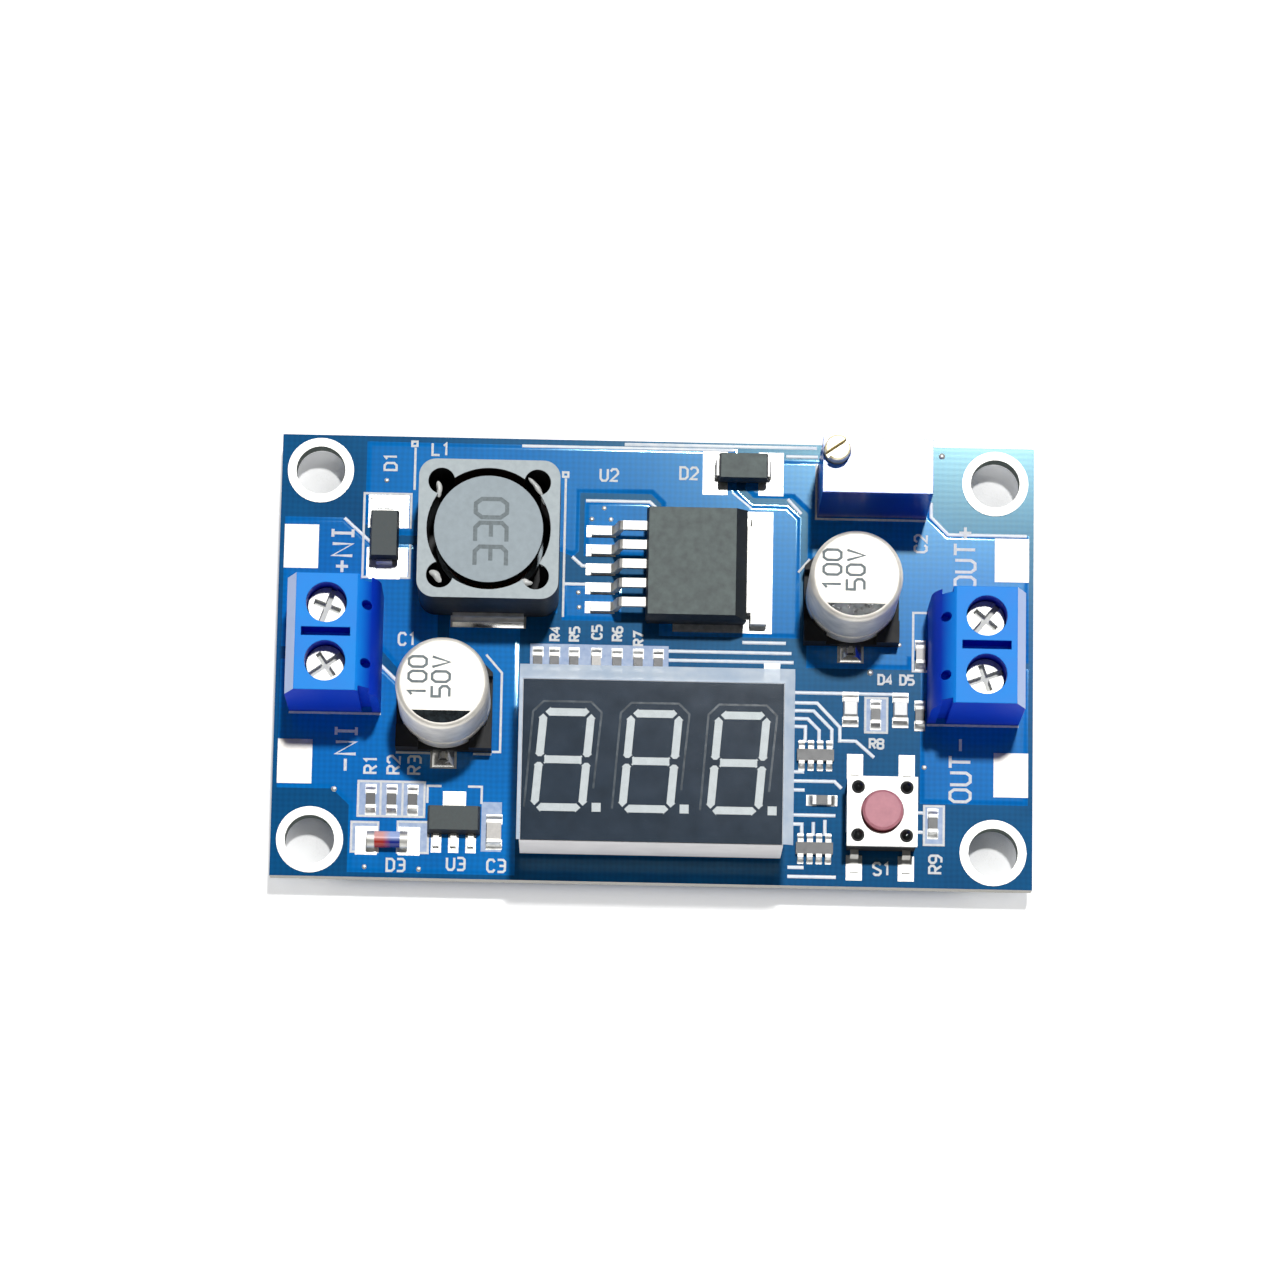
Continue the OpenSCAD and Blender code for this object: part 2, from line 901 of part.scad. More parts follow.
module inductor_shield() {
    shield_low = tin_thickness + inductor_base_height;
    pocket_at = shield_opening * 0.7071 + 0.35;
    color(ferrite_grey)
        at_inductor()
            translate([0, 0, shield_low])
                linear_extrude(height = inductor_height - pad_thickness - shield_low)
                    difference() {
                        rounded_square(inductor_side, inductor_corner);
                        circle(shield_opening);
                        for (x = [-1, 1])
                            for (y = [-1, 1])
                                translate([x, y] * pocket_at)
                                    circle(inductor_pocket_radius);
                    }
}

module inductor_core() {
    core_low = tin_thickness + inductor_base_height;
    core_height = inductor_height - pad_thickness - core_low - core_drop;
    color(ferrite_grey)
        at_inductor()
            translate([0, 0, core_low]) {
                cylinder(r = inductor_core_radius, h = core_flange);
                cylinder(r = core_post_radius, h = core_height);
                translate([0, 0, core_height - core_flange])
                    cylinder(r = inductor_core_radius, h = core_flange);
            }
}

module inductor_winding() {
    core_low = tin_thickness + inductor_base_height;
    core_height = inductor_height - pad_thickness - core_low - core_drop;
    coil_low = core_low + core_flange + 0.05;
    coil_height = core_height - 2 * core_flange - 0.1;
    turns = floor(coil_height / 0.62);
    step = coil_height / turns;
    color(copper)
        at_inductor()
            translate([0, 0, coil_low])
                rotate_extrude()
                    union() {
                        translate([core_post_radius + fit_gap, 0])
                            square([inductor_core_radius - core_post_radius - 0.75, coil_height]);
                        for (k = [0 : turns - 1])
                            translate([inductor_core_radius - 0.75, (k + 0.5) * step])
                                circle(step * 0.48);
                    }
}

module inductor_clips() {
    color(tin)
        for (side = [-1, 1])
            at_inductor()
                rotate([0, 0, side > 0 ? 180 : 0])
                    translate([0, -inductor_side / 2, 0]) {
                        span(
                            [-inductor_clip_width / 2, -clip_thickness, 0],
                            [inductor_clip_width / 2, 0, tin_thickness + inductor_base_height + clip_rise]
                        );
                        span(
                            [-inductor_clip_width / 2, -clip_thickness, 0],
                            [inductor_clip_width / 2, clip_under, tin_thickness]
                        );
                        span(
                            [-inductor_clip_width / 2, -clip_thickness - clip_lip, 0],
                            [inductor_clip_width / 2, -clip_thickness, tin_thickness + clip_lip_height]
                        );
                    }
}

module at_regulator() {
    translate([regulator_at[0], regulator_at[1], seat])
        children();
}

module regulator_lead_side() {
    bend = regulator_front - lead_run;
    foot = bend - lead_drop - lead_foot;
    polygon([
        [regulator_front + lead_root, lead_height],
        [regulator_front + lead_root, lead_height + lead_thickness],
        [bend + 0.05, lead_height + lead_thickness],
        [bend - 0.2, lead_height + lead_thickness - 0.1],
        [bend - 0.36, lead_height + lead_thickness - 0.32],
        [bend - lead_drop - 0.02, lead_thickness + 0.1],
        [bend - lead_drop - 0.18, lead_thickness],
        [foot, lead_thickness],
        [foot, 0],
        [bend - lead_drop + 0.05, 0],
        [bend - lead_drop + 0.3, 0.12],
        [bend - lead_drop + 0.45, 0.35],
        [bend + 0.08, lead_height - 0.06],
        [bend + 0.2, lead_height]
    ]);
}

module regulator_leads() {
    color(tin)
        at_regulator()
            for (k = [-2 : 2])
                translate([0, k * regulator_lead_pitch + regulator_lead_width / 2, 0])
                    rotate([90, 0, 0])
                        linear_extrude(height = regulator_lead_width)
                            regulator_lead_side();
}

module regulator_tab_shape(grow) {
    span(
        [regulator_back - tab_root, -regulator_width / 2 + 1.1 - grow, 0],
        [regulator_back + 0.4, regulator_width / 2 - 1.1 + grow, regulator_tab_height]
    );
    span(
        [regulator_back + 0.4 - grow, -regulator_width / 2 + 0.1, 0],
        [regulator_back + regulator_tab_reach, regulator_width / 2 - 0.1, regulator_tab_height]
    );
}

module regulator_tab() {
    color(tin)
        at_regulator()
            regulator_tab_shape(0);
}

module regulator_body() {
    lead_line = lead_height + lead_thickness / 2;
    color(dark_plastic)
        at_regulator()
            difference() {
                union() {
                    translate([0, 0, lead_line])
                        drafted_block(
                            [regulator_length, regulator_width, regulator_height - lead_line],
                            regulator_draft,
                            0
                        );
                    translate([0, 0, lead_line])
                        rotate([180, 0, 0])
                            drafted_block([regulator_length, regulator_width, lead_line - 0.1], 0.2, 0);
                }
                // The top slopes down to the tab
                rotate([90, 0, 0])
                    linear_extrude(height = regulator_width + 1, center = true)
                        polygon([
                            [regulator_back, lead_line],
                            [regulator_back + 1, lead_line],
                            [regulator_back + 1, regulator_height + 1],
                            [regulator_back - regulator_nose, regulator_height + 1],
                            [regulator_back - regulator_nose, regulator_height]
                        ]);
                regulator_tab_shape(0);
                for (k = [-2 : 2])
                    translate([0, k * regulator_lead_pitch, 0])
                        span(
                            [regulator_front - 1, -regulator_lead_width / 2, lead_height],
                            [regulator_front + lead_root, regulator_lead_width / 2, lead_height + lead_thickness]
                        );
            }
}

// A rectangular diode that lies along X
module diode_body() {
    middle = diode_height / 2;
    difference() {
        union() {
            drafted_block([diode_length, diode_width, diode_height - middle], diode_draft, middle);
            translate([0, 0, middle])
                rotate([180, 0, 0])
                    drafted_block([diode_length, diode_width, middle - diode_gap], diode_draft, 0);
        }
        for (end = [-1, 1])
            translate([end * diode_length / 2, 0, 0])
                block([1, diode_lead_width, diode_lead_thickness], middle - diode_lead_thickness);
        for (end = [-1, 1])
            translate([end * diode_length / 2, 0, 0])
                block([2 * diode_lead_foot, diode_lead_width, diode_lead_thickness], 0);
    }
}

module diode_leads() {
    middle = diode_height / 2;
    outer = diode_length / 2 + diode_lead_reach;
    inner = diode_length / 2 - diode_lead_foot;
    for (end = [0, 180])
        rotate([0, 0, end])
            translate([0, diode_lead_width / 2, 0])
                rotate([90, 0, 0])
                    linear_extrude(height = diode_lead_width)
                        polygon([
                            [diode_length / 2 - 0.5, middle],
                            [outer - 0.12, middle],
                            [outer, middle - 0.12],
                            [outer, 0.12],
                            [outer - 0.12, 0],
                            [inner, 0],
                            [inner, diode_lead_thickness],
                            [outer - diode_lead_thickness, diode_lead_thickness],
                            [outer - diode_lead_thickness, middle - diode_lead_thickness],
                            [diode_length / 2 - 0.5, middle - diode_lead_thickness]
                        ]);
}

module at_input_diode() {
    translate([input_diode_at[0], input_diode_at[1], seat])
        rotate([0, 0, 90])
            children();
}

module at_output_diode() {
    translate([output_diode_at[0], output_diode_at[1], seat])
        children();
}

module input_diode_body() {
    color(dark_plastic)
        at_input_diode()
            diode_body();
}

module input_diode_leads() {
    color(tin)
        at_input_diode()
            diode_leads();
}

module output_diode_body() {
    color(dark_plastic)
        at_output_diode()
            diode_body();
}

module output_diode_leads() {
    color(tin)
        at_output_diode()
            diode_leads();
}

module at_trimmer() {
    translate([trimmer_at[0], trimmer_at[1], top])
        children();
}

module trimmer_body() {
    color(terminal_blue)
        at_trimmer()
            difference() {
                union() {
                    block([trimmer_length, trimmer_width, trimmer_height - trimmer_foot], trimmer_foot);
                    for (x = [-1, 1])
                        for (y = [-1, 1])
                            translate([x * (trimmer_length / 2 - 0.6), y * (trimmer_width / 2 - 0.5), 0])
                                block([1.2, 1, trimmer_foot + 0.1], 0);
                }
                translate([trimmer_screw_at[0], trimmer_screw_at[1], trimmer_height - trimmer_bore_depth])
                    cylinder(r = trimmer_screw_radius + 0.06, h = trimmer_bore_depth + 1);
                for (k = [-1 : 1])
                    translate([k * trimmer_pin_pitch, -0.6, 0])
                        cylinder(r = trimmer_pin_radius + fit_gap, h = trimmer_foot + 2);
            }
}

module trimmer_screw() {
    high = trimmer_height + trimmer_screw_reach;
    color(brass)
        at_trimmer()
            translate([trimmer_screw_at[0], trimmer_screw_at[1], 0])
                difference() {
                    union() {
                        translate([0, 0, trimmer_height - trimmer_bore_depth + 0.05])
                            cylinder(r = trimmer_screw_radius, h = trimmer_bore_depth + trimmer_screw_reach - 0.2);
                        translate([0, 0, high - 0.15])
                            cylinder(r1 = trimmer_screw_radius, r2 = trimmer_screw_radius - 0.15, h = 0.15);
                    }
                    rotate([0, 0, 35])
                        block([4, 0.5, 2], high - 0.7);
                }
}

module trimmer_pins() {
    color(tin)
        at_trimmer_pins()
            translate([0, 0, -pin_drop])
                cylinder(r = trimmer_pin_radius, h = pin_drop + top + trimmer_foot + 2);
}

// Capacitor base: the two chamfered corners mark the positive end, which faces the back
module capacitor_outline() {
    half = capacitor_side / 2;
    polygon([
        [-half, -half],
        [half, -half],
        [half, half - capacitor_chamfer],
        [half - capacitor_chamfer, half],
        [-half + capacitor_chamfer, half],
        [-half, half - capacitor_chamfer]
    ]);
}

module capacitor_base() {
    difference() {
        linear_extrude(height = capacitor_wall_height)
            capacitor_outline();
        translate([0, 0, capacitor_floor])
            cylinder(r = capacitor_radius + 0.05, h = 10);
        // The wall is open at the middle of each side
        for (turn = [0, 90])
            rotate([0, 0, turn])
                block([capacitor_side + 1, 4.4, 10], capacitor_floor);
        for (end = [-1, 1])
            translate([0, end * capacitor_side / 2, 0])
                block([capacitor_lead_width + 2 * fit_gap, 5.2, tin_thickness + pad_thickness], 0);
        for (end = [-1, 1])
            translate([0, end * (capacitor_side / 2 + capacitor_pad_reach / 2 - 1), 0])
                block([capacitor_pad_width + 0.2, capacitor_pad_reach + 2.1, pad_thickness], 0);
    }
}

module capacitor_can() {
    length = capacitor_height - capacitor_floor;
    translate([0, 0, capacitor_floor])
        rotate_extrude()
            difference() {
                union() {
                    square([capacitor_radius, length - capacitor_rim]);
                    square([capacitor_radius - capacitor_rim, length]);
                    translate([capacitor_radius - capacitor_rim, length - capacitor_rim])
                        intersection() {
                            circle(capacitor_rim);
                            square(capacitor_rim);
                        }
                }
                translate([capacitor_radius + 0.12, capacitor_groove_height - capacitor_floor])
                    circle(capacitor_groove_radius);
            }
}

module capacitor_leads() {
    for (end = [-1, 1])
        translate([0, end * capacitor_side / 2, 0])
            rotate([0, 0, end > 0 ? 180 : 0])
                span(
                    [-capacitor_lead_width / 2, -capacitor_lead_reach, pad_thickness],
                    [capacitor_lead_width / 2, 2.55, pad_thickness + tin_thickness]
                );
}

module at_input_capacitor() {
    translate([input_capacitor_at[0], input_capacitor_at[1], top])
        children();
}

module at_output_capacitor() {
    translate([output_capacitor_at[0], output_capacitor_at[1], top])
        children();
}

module input_capacitor_can() {
    color(aluminium)
        at_input_capacitor()
            capacitor_can();
}

module input_capacitor_base() {
    color(black_plastic)
        at_input_capacitor()
            capacitor_base();
}

module input_capacitor_leads() {
    color(tin)
        at_input_capacitor()
            capacitor_leads();
}

module output_capacitor_can() {
    color(aluminium)
        at_output_capacitor()
            capacitor_can();
}

module output_capacitor_base() {
    color(black_plastic)
        at_output_capacitor()
            capacitor_base();
}

module output_capacitor_leads() {
    color(tin)
        at_output_capacitor()
            capacitor_leads();
}

module at_display() {
    translate([display_at[0], display_at[1], top])
        children();
}

// A segment's outline between two ends, with pointed tips, in upright digit coordinates
function bar_points(a, b) =
    let (
        along = (b - a) / norm(b - a),
        across = [-along[1], along[0]] * segment_width / 2,
        tip = along * segment_width / 2,
        first = a + along * segment_gap,
        last = b - along * segment_gap
    )
    [first, first + tip + across, last - tip + across, last, last - tip - across, first + tip - across];

function lean(points) = [for (p = points) [p[0] + p[1] * tan(digit_slant), p[1]]];

module digit_outlines() {
    x = (digit_width - segment_width) / 2;
    y = (digit_height - segment_width) / 2;
    bars = [
        [[-x, y], [x, y]],
        [[-x, 0], [x, 0]],
        [[-x, -y], [x, -y]],
        [[-x, 0], [-x, y]],
        [[x, 0], [x, y]],
        [[-x, -y], [-x, 0]],
        [[x, -y], [x, 0]]
    ];
    for (b = bars)
        polygon(lean(bar_points(b[0], b[1])));
    corner_x = digit_width / 2 + point_gap - digit_height / 2 * tan(digit_slant);
    translate([corner_x, -digit_height / 2])
        square(point_side);
}

module all_segments(low, high) {
    for (k = [-1 : 1])
        translate([k * digit_pitch - 0.15, 0, low])
            linear_extrude(height = high - low)
                digit_outlines();
}

module display_case() {
    front = display_top - display_film;
    color(case_grey)
        at_display()
            difference() {
                block([display_length, display_width, display_height - display_film], display_lift);
                block(
                    [
                        display_length - 2 * display_wall,
                        display_width - 2 * display_wall,
                        display_height - display_film - display_front_plate + 1
                    ],
                    display_lift - 1
                );
                all_segments(front - display_front_plate - 1, front + 1);
            }
}

module display_face() {
    color(face_grey)
        at_display()
            difference() {
                block(
                    [display_length - 2 * display_film_inset, display_width - 2 * display_film_inset, display_film],
                    display_top - display_film
                );
                all_segments(display_top - 1, display_top + 1);
            }
}

module display_segments() {
    color(segment_white)
        at_display()
            all_segments(display_top - display_film - display_front_plate, display_top);
}

module display_resin() {
    color(resin_white)
        difference() {
            at_display()
                block(
                    [
                        display_length - 2 * display_wall,
                        display_width - 2 * display_wall,
                        display_height - display_film - display_front_plate
                    ],
                    display_lift
                );
            at_display_pins()
                cylinder(r = display_pin_radius + fit_gap, h = top + display_lift + display_pin_root);
        }
}

module display_pins() {
    color(tin)
        at_display_pins()
            translate([0, 0, -pin_drop])
                cylinder(r = display_pin_radius, h = pin_drop + top + display_lift + display_pin_root);
}

module at_controller() {
    translate([controller_at[0], controller_at[1], seat])
        children();
}

module meter_controller_body() {
    color(black_plastic)
        at_controller()
            block([controller_length, controller_width, controller_height], controller_gap);
}

module meter_controller_leads() {
    edge = controller_width / 2;
    tip = edge + controller_lead_reach;
    high = controller_gap + controller_height / 2;
    t = controller_lead_thickness;
    color(tin)
        at_controller()
            for (k = [0 : 9])
                for (turn = [0, 180])
                    rotate([0, 0, turn])
                        translate([(k - 4.5) * controller_pitch - controller_lead_width / 2, 0, 0])
                            rotate([90, 0, 90])
                                linear_extrude(height = controller_lead_width)
                                    polygon([
                                        [edge, high],
                                        [edge, high + t],
                                        [edge + 0.36, high + t],
                                        [edge + 0.52, t],
                                        [tip, t],
                                        [tip, 0],
                                        [edge + 0.4, 0],
                                        [edge + 0.26, high]
                                    ]);
}

module at_switch() {
    translate([switch_at[0], switch_at[1], seat])
        children();
}

module switch_base() {
    color(black_plastic)
        at_switch()
            difference() {
                union() {
                    block([switch_base_side, switch_base_side, switch_base_top - switch_base_gap], switch_base_gap);
                    for (x = [-1, 1])
                        for (y = [-1, 1])
                            translate([x * switch_rivet_at, y * switch_rivet_at, switch_base_top - 0.1])
                                cylinder(r = switch_rivet_radius, h = switch_cover_thickness + 0.22);
                }
                translate([0, 0, switch_well_floor])
                    cylinder(r = switch_well_radius, h = 10);
                for (x = [-1, 1])
                    for (y = [-1, 1])
                        translate([
                            x * switch_lead_pitch / 2,
                            y * (switch_base_side / 2 - 0.25),
                            switch_base_gap + 0.4
                        ])
                            block([switch_lead_width + 2 * fit_gap, 0.6, switch_lead_thickness + 2 * fit_gap], -fit_gap);
            }
}

module switch_cover() {
    low = switch_base_top;
    color(steel)
        at_switch()
            difference() {
                union() {
                    block([switch_side, switch_side, switch_cover_thickness], low);
                    for (x = [-1, 1])
                        translate([x * (switch_side / 2 - 0.05), 0, 0])
                            block([0.1, switch_cover_tab, switch_cover_drop + 0.1], low - switch_cover_drop);
                }
                translate([0, 0, low - 1])
                    cylinder(r = switch_button_radius + running_gap, h = 3);
                for (x = [-1, 1])
                    for (y = [-1, 1])
                        translate([x * switch_rivet_at, y * switch_rivet_at, low - 1])
                            cylinder(r = switch_rivet_radius + fit_gap, h = 3);
            }
}

module switch_button() {
    high = switch_height + switch_button_reach;
    color(button_red)
        at_switch() {
            translate([0, 0, switch_stem_low])
                cylinder(r = switch_stem_radius, h = switch_flange_high - switch_stem_low);
            translate([0, 0, switch_flange_high - switch_flange])
                cylinder(r = switch_flange_radius, h = switch_flange);
            translate([0, 0, switch_flange_high - 0.1])
                cylinder(r = switch_button_radius, h = high - switch_flange_high - 0.1);
            translate([0, 0, high - 0.2])
                cylinder(r1 = switch_button_radius, r2 = switch_button_radius - 0.2, h = 0.2);
        }
}

// A snap dome: two shallow cones of the same rise, one a sheet's thickness above the other
module switch_dome() {
    color(steel)
        at_switch()
            translate([0, 0, switch_well_floor])
                rotate_extrude()
                    polygon([
                        [0, switch_dome_rise],
                        [0, switch_dome_rise + switch_dome_thickness],
                        [switch_stem_radius, switch_dome_rise + switch_dome_thickness],
                        [switch_dome_radius, switch_dome_thickness],
                        [switch_dome_radius, 0],
                        [switch_stem_radius, switch_dome_rise]
                    ]);
}

module switch_leads() {
    edge = switch_base_side / 2;
    tip = edge + switch_lead_reach;
    low = switch_base_gap + 0.4;
    t = switch_lead_thickness;
    color(tin)
        at_switch()
            for (x = [-1, 1])
                for (turn = [0, 180])
                    rotate([0, 0, turn])
                        translate([x * switch_lead_pitch / 2 - switch_lead_width / 2, 0, 0])
                            rotate([90, 0, 90])
                                linear_extrude(height = switch_lead_width)
                                    polygon([
                                        [edge - 0.5, low],
                                        [edge - 0.5, low + t],
                                        [edge + 0.45, low + t],
                                        [edge + 0.75, t],
                                        [tip, t],
                                        [tip, 0],
                                        [edge + 0.6, 0],
                                        [edge + 0.3, low]
                                    ]);
}

module at_small_regulator() {
    translate([small_regulator_at[0], small_regulator_at[1], seat])
        children();
}

module small_regulator_leads_shape() {
    half = small_regulator_size[1] / 2;
    for (k = [-1 : 1])
        translate([k * small_lead_pitch, 0, 0])
            span(
                [-small_lead_width / 2, -half - small_lead_reach, 0],
                [small_lead_width / 2, -half + 0.4, small_lead_thickness]
            );
    span(
        [-small_lead_width / 2, -half, 0],
        [small_lead_width / 2, half, small_lead_thickness]
    );
    span(
        [-small_tab_width / 2, half - 1, 0],
        [small_tab_width / 2, half + small_tab_reach, small_lead_thickness]
    );
}

module small_regulator_leads() {
    color(tin)
        at_small_regulator()
            small_regulator_leads_shape();
}

module small_regulator_body() {
    color(black_plastic)
        at_small_regulator()
            difference() {
                drafted_block(
                    [small_regulator_size[0], small_regulator_size[1], small_regulator_size[2] - 0.05],
                    0.2,
                    0.05
                );
                small_regulator_leads_shape();
            }
}

module at_glass_diode() {
    translate([glass_diode_at[0], glass_diode_at[1], seat + glass_diode_radius])
        rotate([0, 90, 0])
            children();
}

module glass_diode_tube() {
    length = glass_diode_length - 2 * glass_cap_length;
    color(glass_orange)
        at_glass_diode()
            difference() {
                cylinder(r = glass_radius, h = length, center = true);
                cylinder(r = glass_radius - glass_wall, h = length + 1, center = true);
            }
}

module glass_diode_ends() {
    length = glass_diode_length - 2 * glass_cap_length;
    slug = (length - die_length) / 2;
    color(tin)
        at_glass_diode() {
            for (end = [-1, 1])
                translate([0, 0, end * (glass_diode_length - glass_cap_length) / 2])
                    cylinder(r = glass_diode_radius, h = glass_cap_length, center = true);
            for (end = [-1, 1])
                translate([0, 0, end * (die_length + slug) / 2])
                    cylinder(r = glass_radius - glass_wall - 0.02, h = slug, center = true);
            cube([die_side, die_side, die_length], center = true);
        }
}

module chip_resistor_bodies() {
    color(black_plastic) {
        at_spots(chip_resistors)
            block([chip_length - 2 * chip_end, chip_width, chip_height], 0);
        for (a = resistor_arrays)
            translate([a[0], a[1], seat])
                block([array_length, array_width - 2 * chip_end, array_height], 0);
    }
}

module chip_capacitor_bodies() {
    color(ceramic_tan) {
        at_spots(chip_capacitors)
            block([chip_length - 2 * chip_end, chip_width, chip_height + 0.3], 0);
        at_spots(large_capacitors)
            block([large_chip_length - 2 * chip_end, large_chip_width, large_chip_height], 0);
    }
}

module chip_end_pair(length, width, height) {
    for (end = [-1, 1])
        translate([end * (length - chip_end) / 2, 0, 0])
            block([chip_end, width, height], 0);
}

module chip_ends() {
    color(tin) {
        at_spots(chip_resistors)
            chip_end_pair(chip_length, chip_width, chip_height);
        at_spots(chip_capacitors)
            chip_end_pair(chip_length, chip_width, chip_height + 0.3);
        at_spots(large_capacitors)
            chip_end_pair(large_chip_length, large_chip_width, large_chip_height);
        at_spots(indicator_leds)
            chip_end_pair(large_chip_length, large_chip_width, led_base_height);
        for (a = resistor_arrays)
            for (k = [-1.5 : 1.5])
                for (y = [-1, 1])
                    translate([a[0] + k * array_pitch, a[1] + y * (array_width - chip_end) / 2, seat])
                        block([array_end_width, chip_end, array_height], 0);
    }
}

module indicator_led_bodies() {
    color(led_white)
        at_spots(indicator_leds)
            block([large_chip_length - 2 * chip_end, large_chip_width, led_base_height], 0);
}

module indicator_led_lenses() {
    color(led_white)
        at_spots(indicator_leds)
            drafted_block([led_lens_length, large_chip_width, led_lens_height], 0.1, led_base_height);
}

circuit_board();
mounting_rings();
wire_pads();
solder_pads();
solder_joints();
in_terminal_housing();
in_terminal_contacts();
in_plus_screw();
in_minus_screw();
in_plus_wire_guard();
in_minus_wire_guard();
out_terminal_housing();
out_terminal_contacts();
out_plus_screw();
out_minus_screw();
out_plus_wire_guard();
out_minus_wire_guard();
inductor_shield();
inductor_core();
inductor_winding();
inductor_base();
inductor_clips();
regulator_body();
regulator_tab();
regulator_leads();
input_diode_body();
input_diode_leads();
output_diode_body();
output_diode_leads();
trimmer_body();
trimmer_screw();
trimmer_pins();
input_capacitor_can();
input_capacitor_base();
input_capacitor_leads();
output_capacitor_can();
output_capacitor_base();
output_capacitor_leads();
display_case();
display_face();
display_segments();
display_resin();
display_pins();
meter_controller_body();
meter_controller_leads();
switch_base();
switch_cover();
switch_button();
switch_dome();
switch_leads();
small_regulator_body();
small_regulator_leads();
glass_diode_tube();
glass_diode_ends();
chip_resistor_bodies();
chip_capacitor_bodies();
chip_ends();
indicator_led_bodies();
indicator_led_lenses();
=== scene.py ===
import bpy
import numpy as np
from mathutils import Matrix, Vector


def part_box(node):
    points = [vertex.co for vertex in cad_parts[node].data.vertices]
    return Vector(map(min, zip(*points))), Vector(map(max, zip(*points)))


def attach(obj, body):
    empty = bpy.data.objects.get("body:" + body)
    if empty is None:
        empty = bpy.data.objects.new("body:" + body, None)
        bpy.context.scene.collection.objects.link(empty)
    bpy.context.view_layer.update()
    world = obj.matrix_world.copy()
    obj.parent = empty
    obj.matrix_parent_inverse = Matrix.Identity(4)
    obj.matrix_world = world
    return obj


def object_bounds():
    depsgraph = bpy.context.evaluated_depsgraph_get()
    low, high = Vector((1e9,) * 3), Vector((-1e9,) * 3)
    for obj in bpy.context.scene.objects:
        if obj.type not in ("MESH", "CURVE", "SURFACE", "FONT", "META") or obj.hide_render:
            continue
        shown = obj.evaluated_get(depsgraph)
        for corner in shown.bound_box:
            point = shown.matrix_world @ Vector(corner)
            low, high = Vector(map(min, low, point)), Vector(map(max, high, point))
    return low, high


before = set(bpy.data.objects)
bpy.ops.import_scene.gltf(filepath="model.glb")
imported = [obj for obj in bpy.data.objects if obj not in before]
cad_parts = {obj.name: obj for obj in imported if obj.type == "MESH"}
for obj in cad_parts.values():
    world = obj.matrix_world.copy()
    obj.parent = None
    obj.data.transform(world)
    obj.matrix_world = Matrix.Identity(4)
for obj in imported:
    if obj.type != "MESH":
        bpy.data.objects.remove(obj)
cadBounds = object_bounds()
mm = 0.001
hair = 0.01  # mm: a step too small to see, so that two faces share no plane
sharpOver = 40  # degrees: smooth pieces keep edges sharper than this
mitreLimit = 0.8  # holds the sideways step back where a path turns sharply
lineSlope = 0.01  # share of its height that a line loses at each corner
lowPen = 0.94  # share of the full height that every second pen line has, for where two cross
toneSpan = (0.3, 0.7)  # where in a noise the darker tone ends and the lighter one begins
print("frame loaded:", len(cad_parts), "solids")


def colour(code):
    # sRGB hex to linear light, by the usual two-part curve
    parts = np.array([int(code[k:k + 2], 16) for k in (1, 3, 5)]) / 255
    linear = np.where(parts <= 0.04045, parts / 12.92, ((parts + 0.055) / 1.055) ** 2.4)
    return (*map(float, linear), 1.0)


def feed(tree, node, links):
    # joins sockets to a node's inputs; a node in their place stands for its first output
    for key, source in links.items():
        tree.links.new(getattr(source, "outputs", [source])[0], node.inputs[key])


def addNode(tree, kind, values=None, links=None, stops=(), **settings):
    # one shader node: values go to its sockets, links feed it, stops are a ramp's two ends
    node = tree.nodes.new("ShaderNode" + kind)
    for key, value in settings.items():
        setattr(node, key, value)
    for key, value in (values or {}).items():
        node.inputs[key].default_value = value
    feed(tree, node, links or {})
    for k, (position, code) in enumerate(stops):
        node.color_ramp.elements[k].position = position
        node.color_ramp.elements[k].color = colour(code)
    return node


def nodeBox(name):
    # a solid's low and high corner in millimetres
    low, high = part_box(name)
    return np.array(low) / mm, np.array(high) / mm


def solidPoints(name):
    # points of each separate solid in a node: the lowest label spreads over every triangle
    # until nothing changes, then each label's points are one solid's
    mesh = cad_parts[name].data
    points = np.empty(len(mesh.vertices) * 3)
    mesh.vertices.foreach_get("co", points)
    points = points.reshape(-1, 3) / mm
    mesh.calc_loop_triangles()
    corners = np.empty(len(mesh.loop_triangles) * 3, dtype=np.int64)
    mesh.loop_triangles.foreach_get("vertices", corners)
    welded = np.unique(np.round(points, 4), axis=0, return_inverse=True)[1].ravel()
    corners = welded[corners].reshape(-1, 3)
    label = np.arange(welded.max() + 1)
    while True:
        before = label.copy()
        np.minimum.at(label, corners, label[corners].min(axis=1)[:, None])
        label = label[label]
        if np.array_equal(before, label):
            break
    return [points[label[welded] == one] for one in np.unique(label[welded])]


def islands(name):
    # low and high corners of each separate solid in a node
    return [(points.min(axis=0), points.max(axis=0)) for points in solidPoints(name)]


def join(parts):
    # several meshes in one: each one's faces are counted on from the points before it
    points, faces, start = [], [], 0
    for some, theirs in parts:
        points.append(some)
        faces += [tuple(int(k) + start for k in face) for face in theirs]
        start += len(some)
    return np.vstack(points), faces


def makePiece(name, parts, look, body="module", smooth=False):
    points, faces = join(parts)
    mesh = bpy.data.meshes.new(name)
    mesh.from_pydata((points * mm).tolist(), [], faces)
    mesh.materials.append(finish[look])
    if smooth:
        mesh.shade_smooth()
        mesh.set_sharp_from_angle(angle=np.radians(sharpOver))
    piece = bpy.data.objects.new(name, mesh)
    bpy.context.scene.collection.objects.link(piece)
    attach(piece, body)
    print("made", name, len(faces), "faces")


def gridFaces(rows, columns, wrapRows=False, wrapColumns=False):
    # quads of a grid of points, row after row; a wrapped way joins its last line to its first
    down, along = np.arange(rows - (not wrapRows)), np.arange(columns - (not wrapColumns))
    i, j = np.meshgrid(down, along, indexing="ij")
    a, b = (i + 1) % rows, (j + 1) % columns
    quads = np.stack([i * columns + j, a * columns + j, a * columns + b, i * columns + b], -1)
    return quads.reshape(-1, 4).tolist()


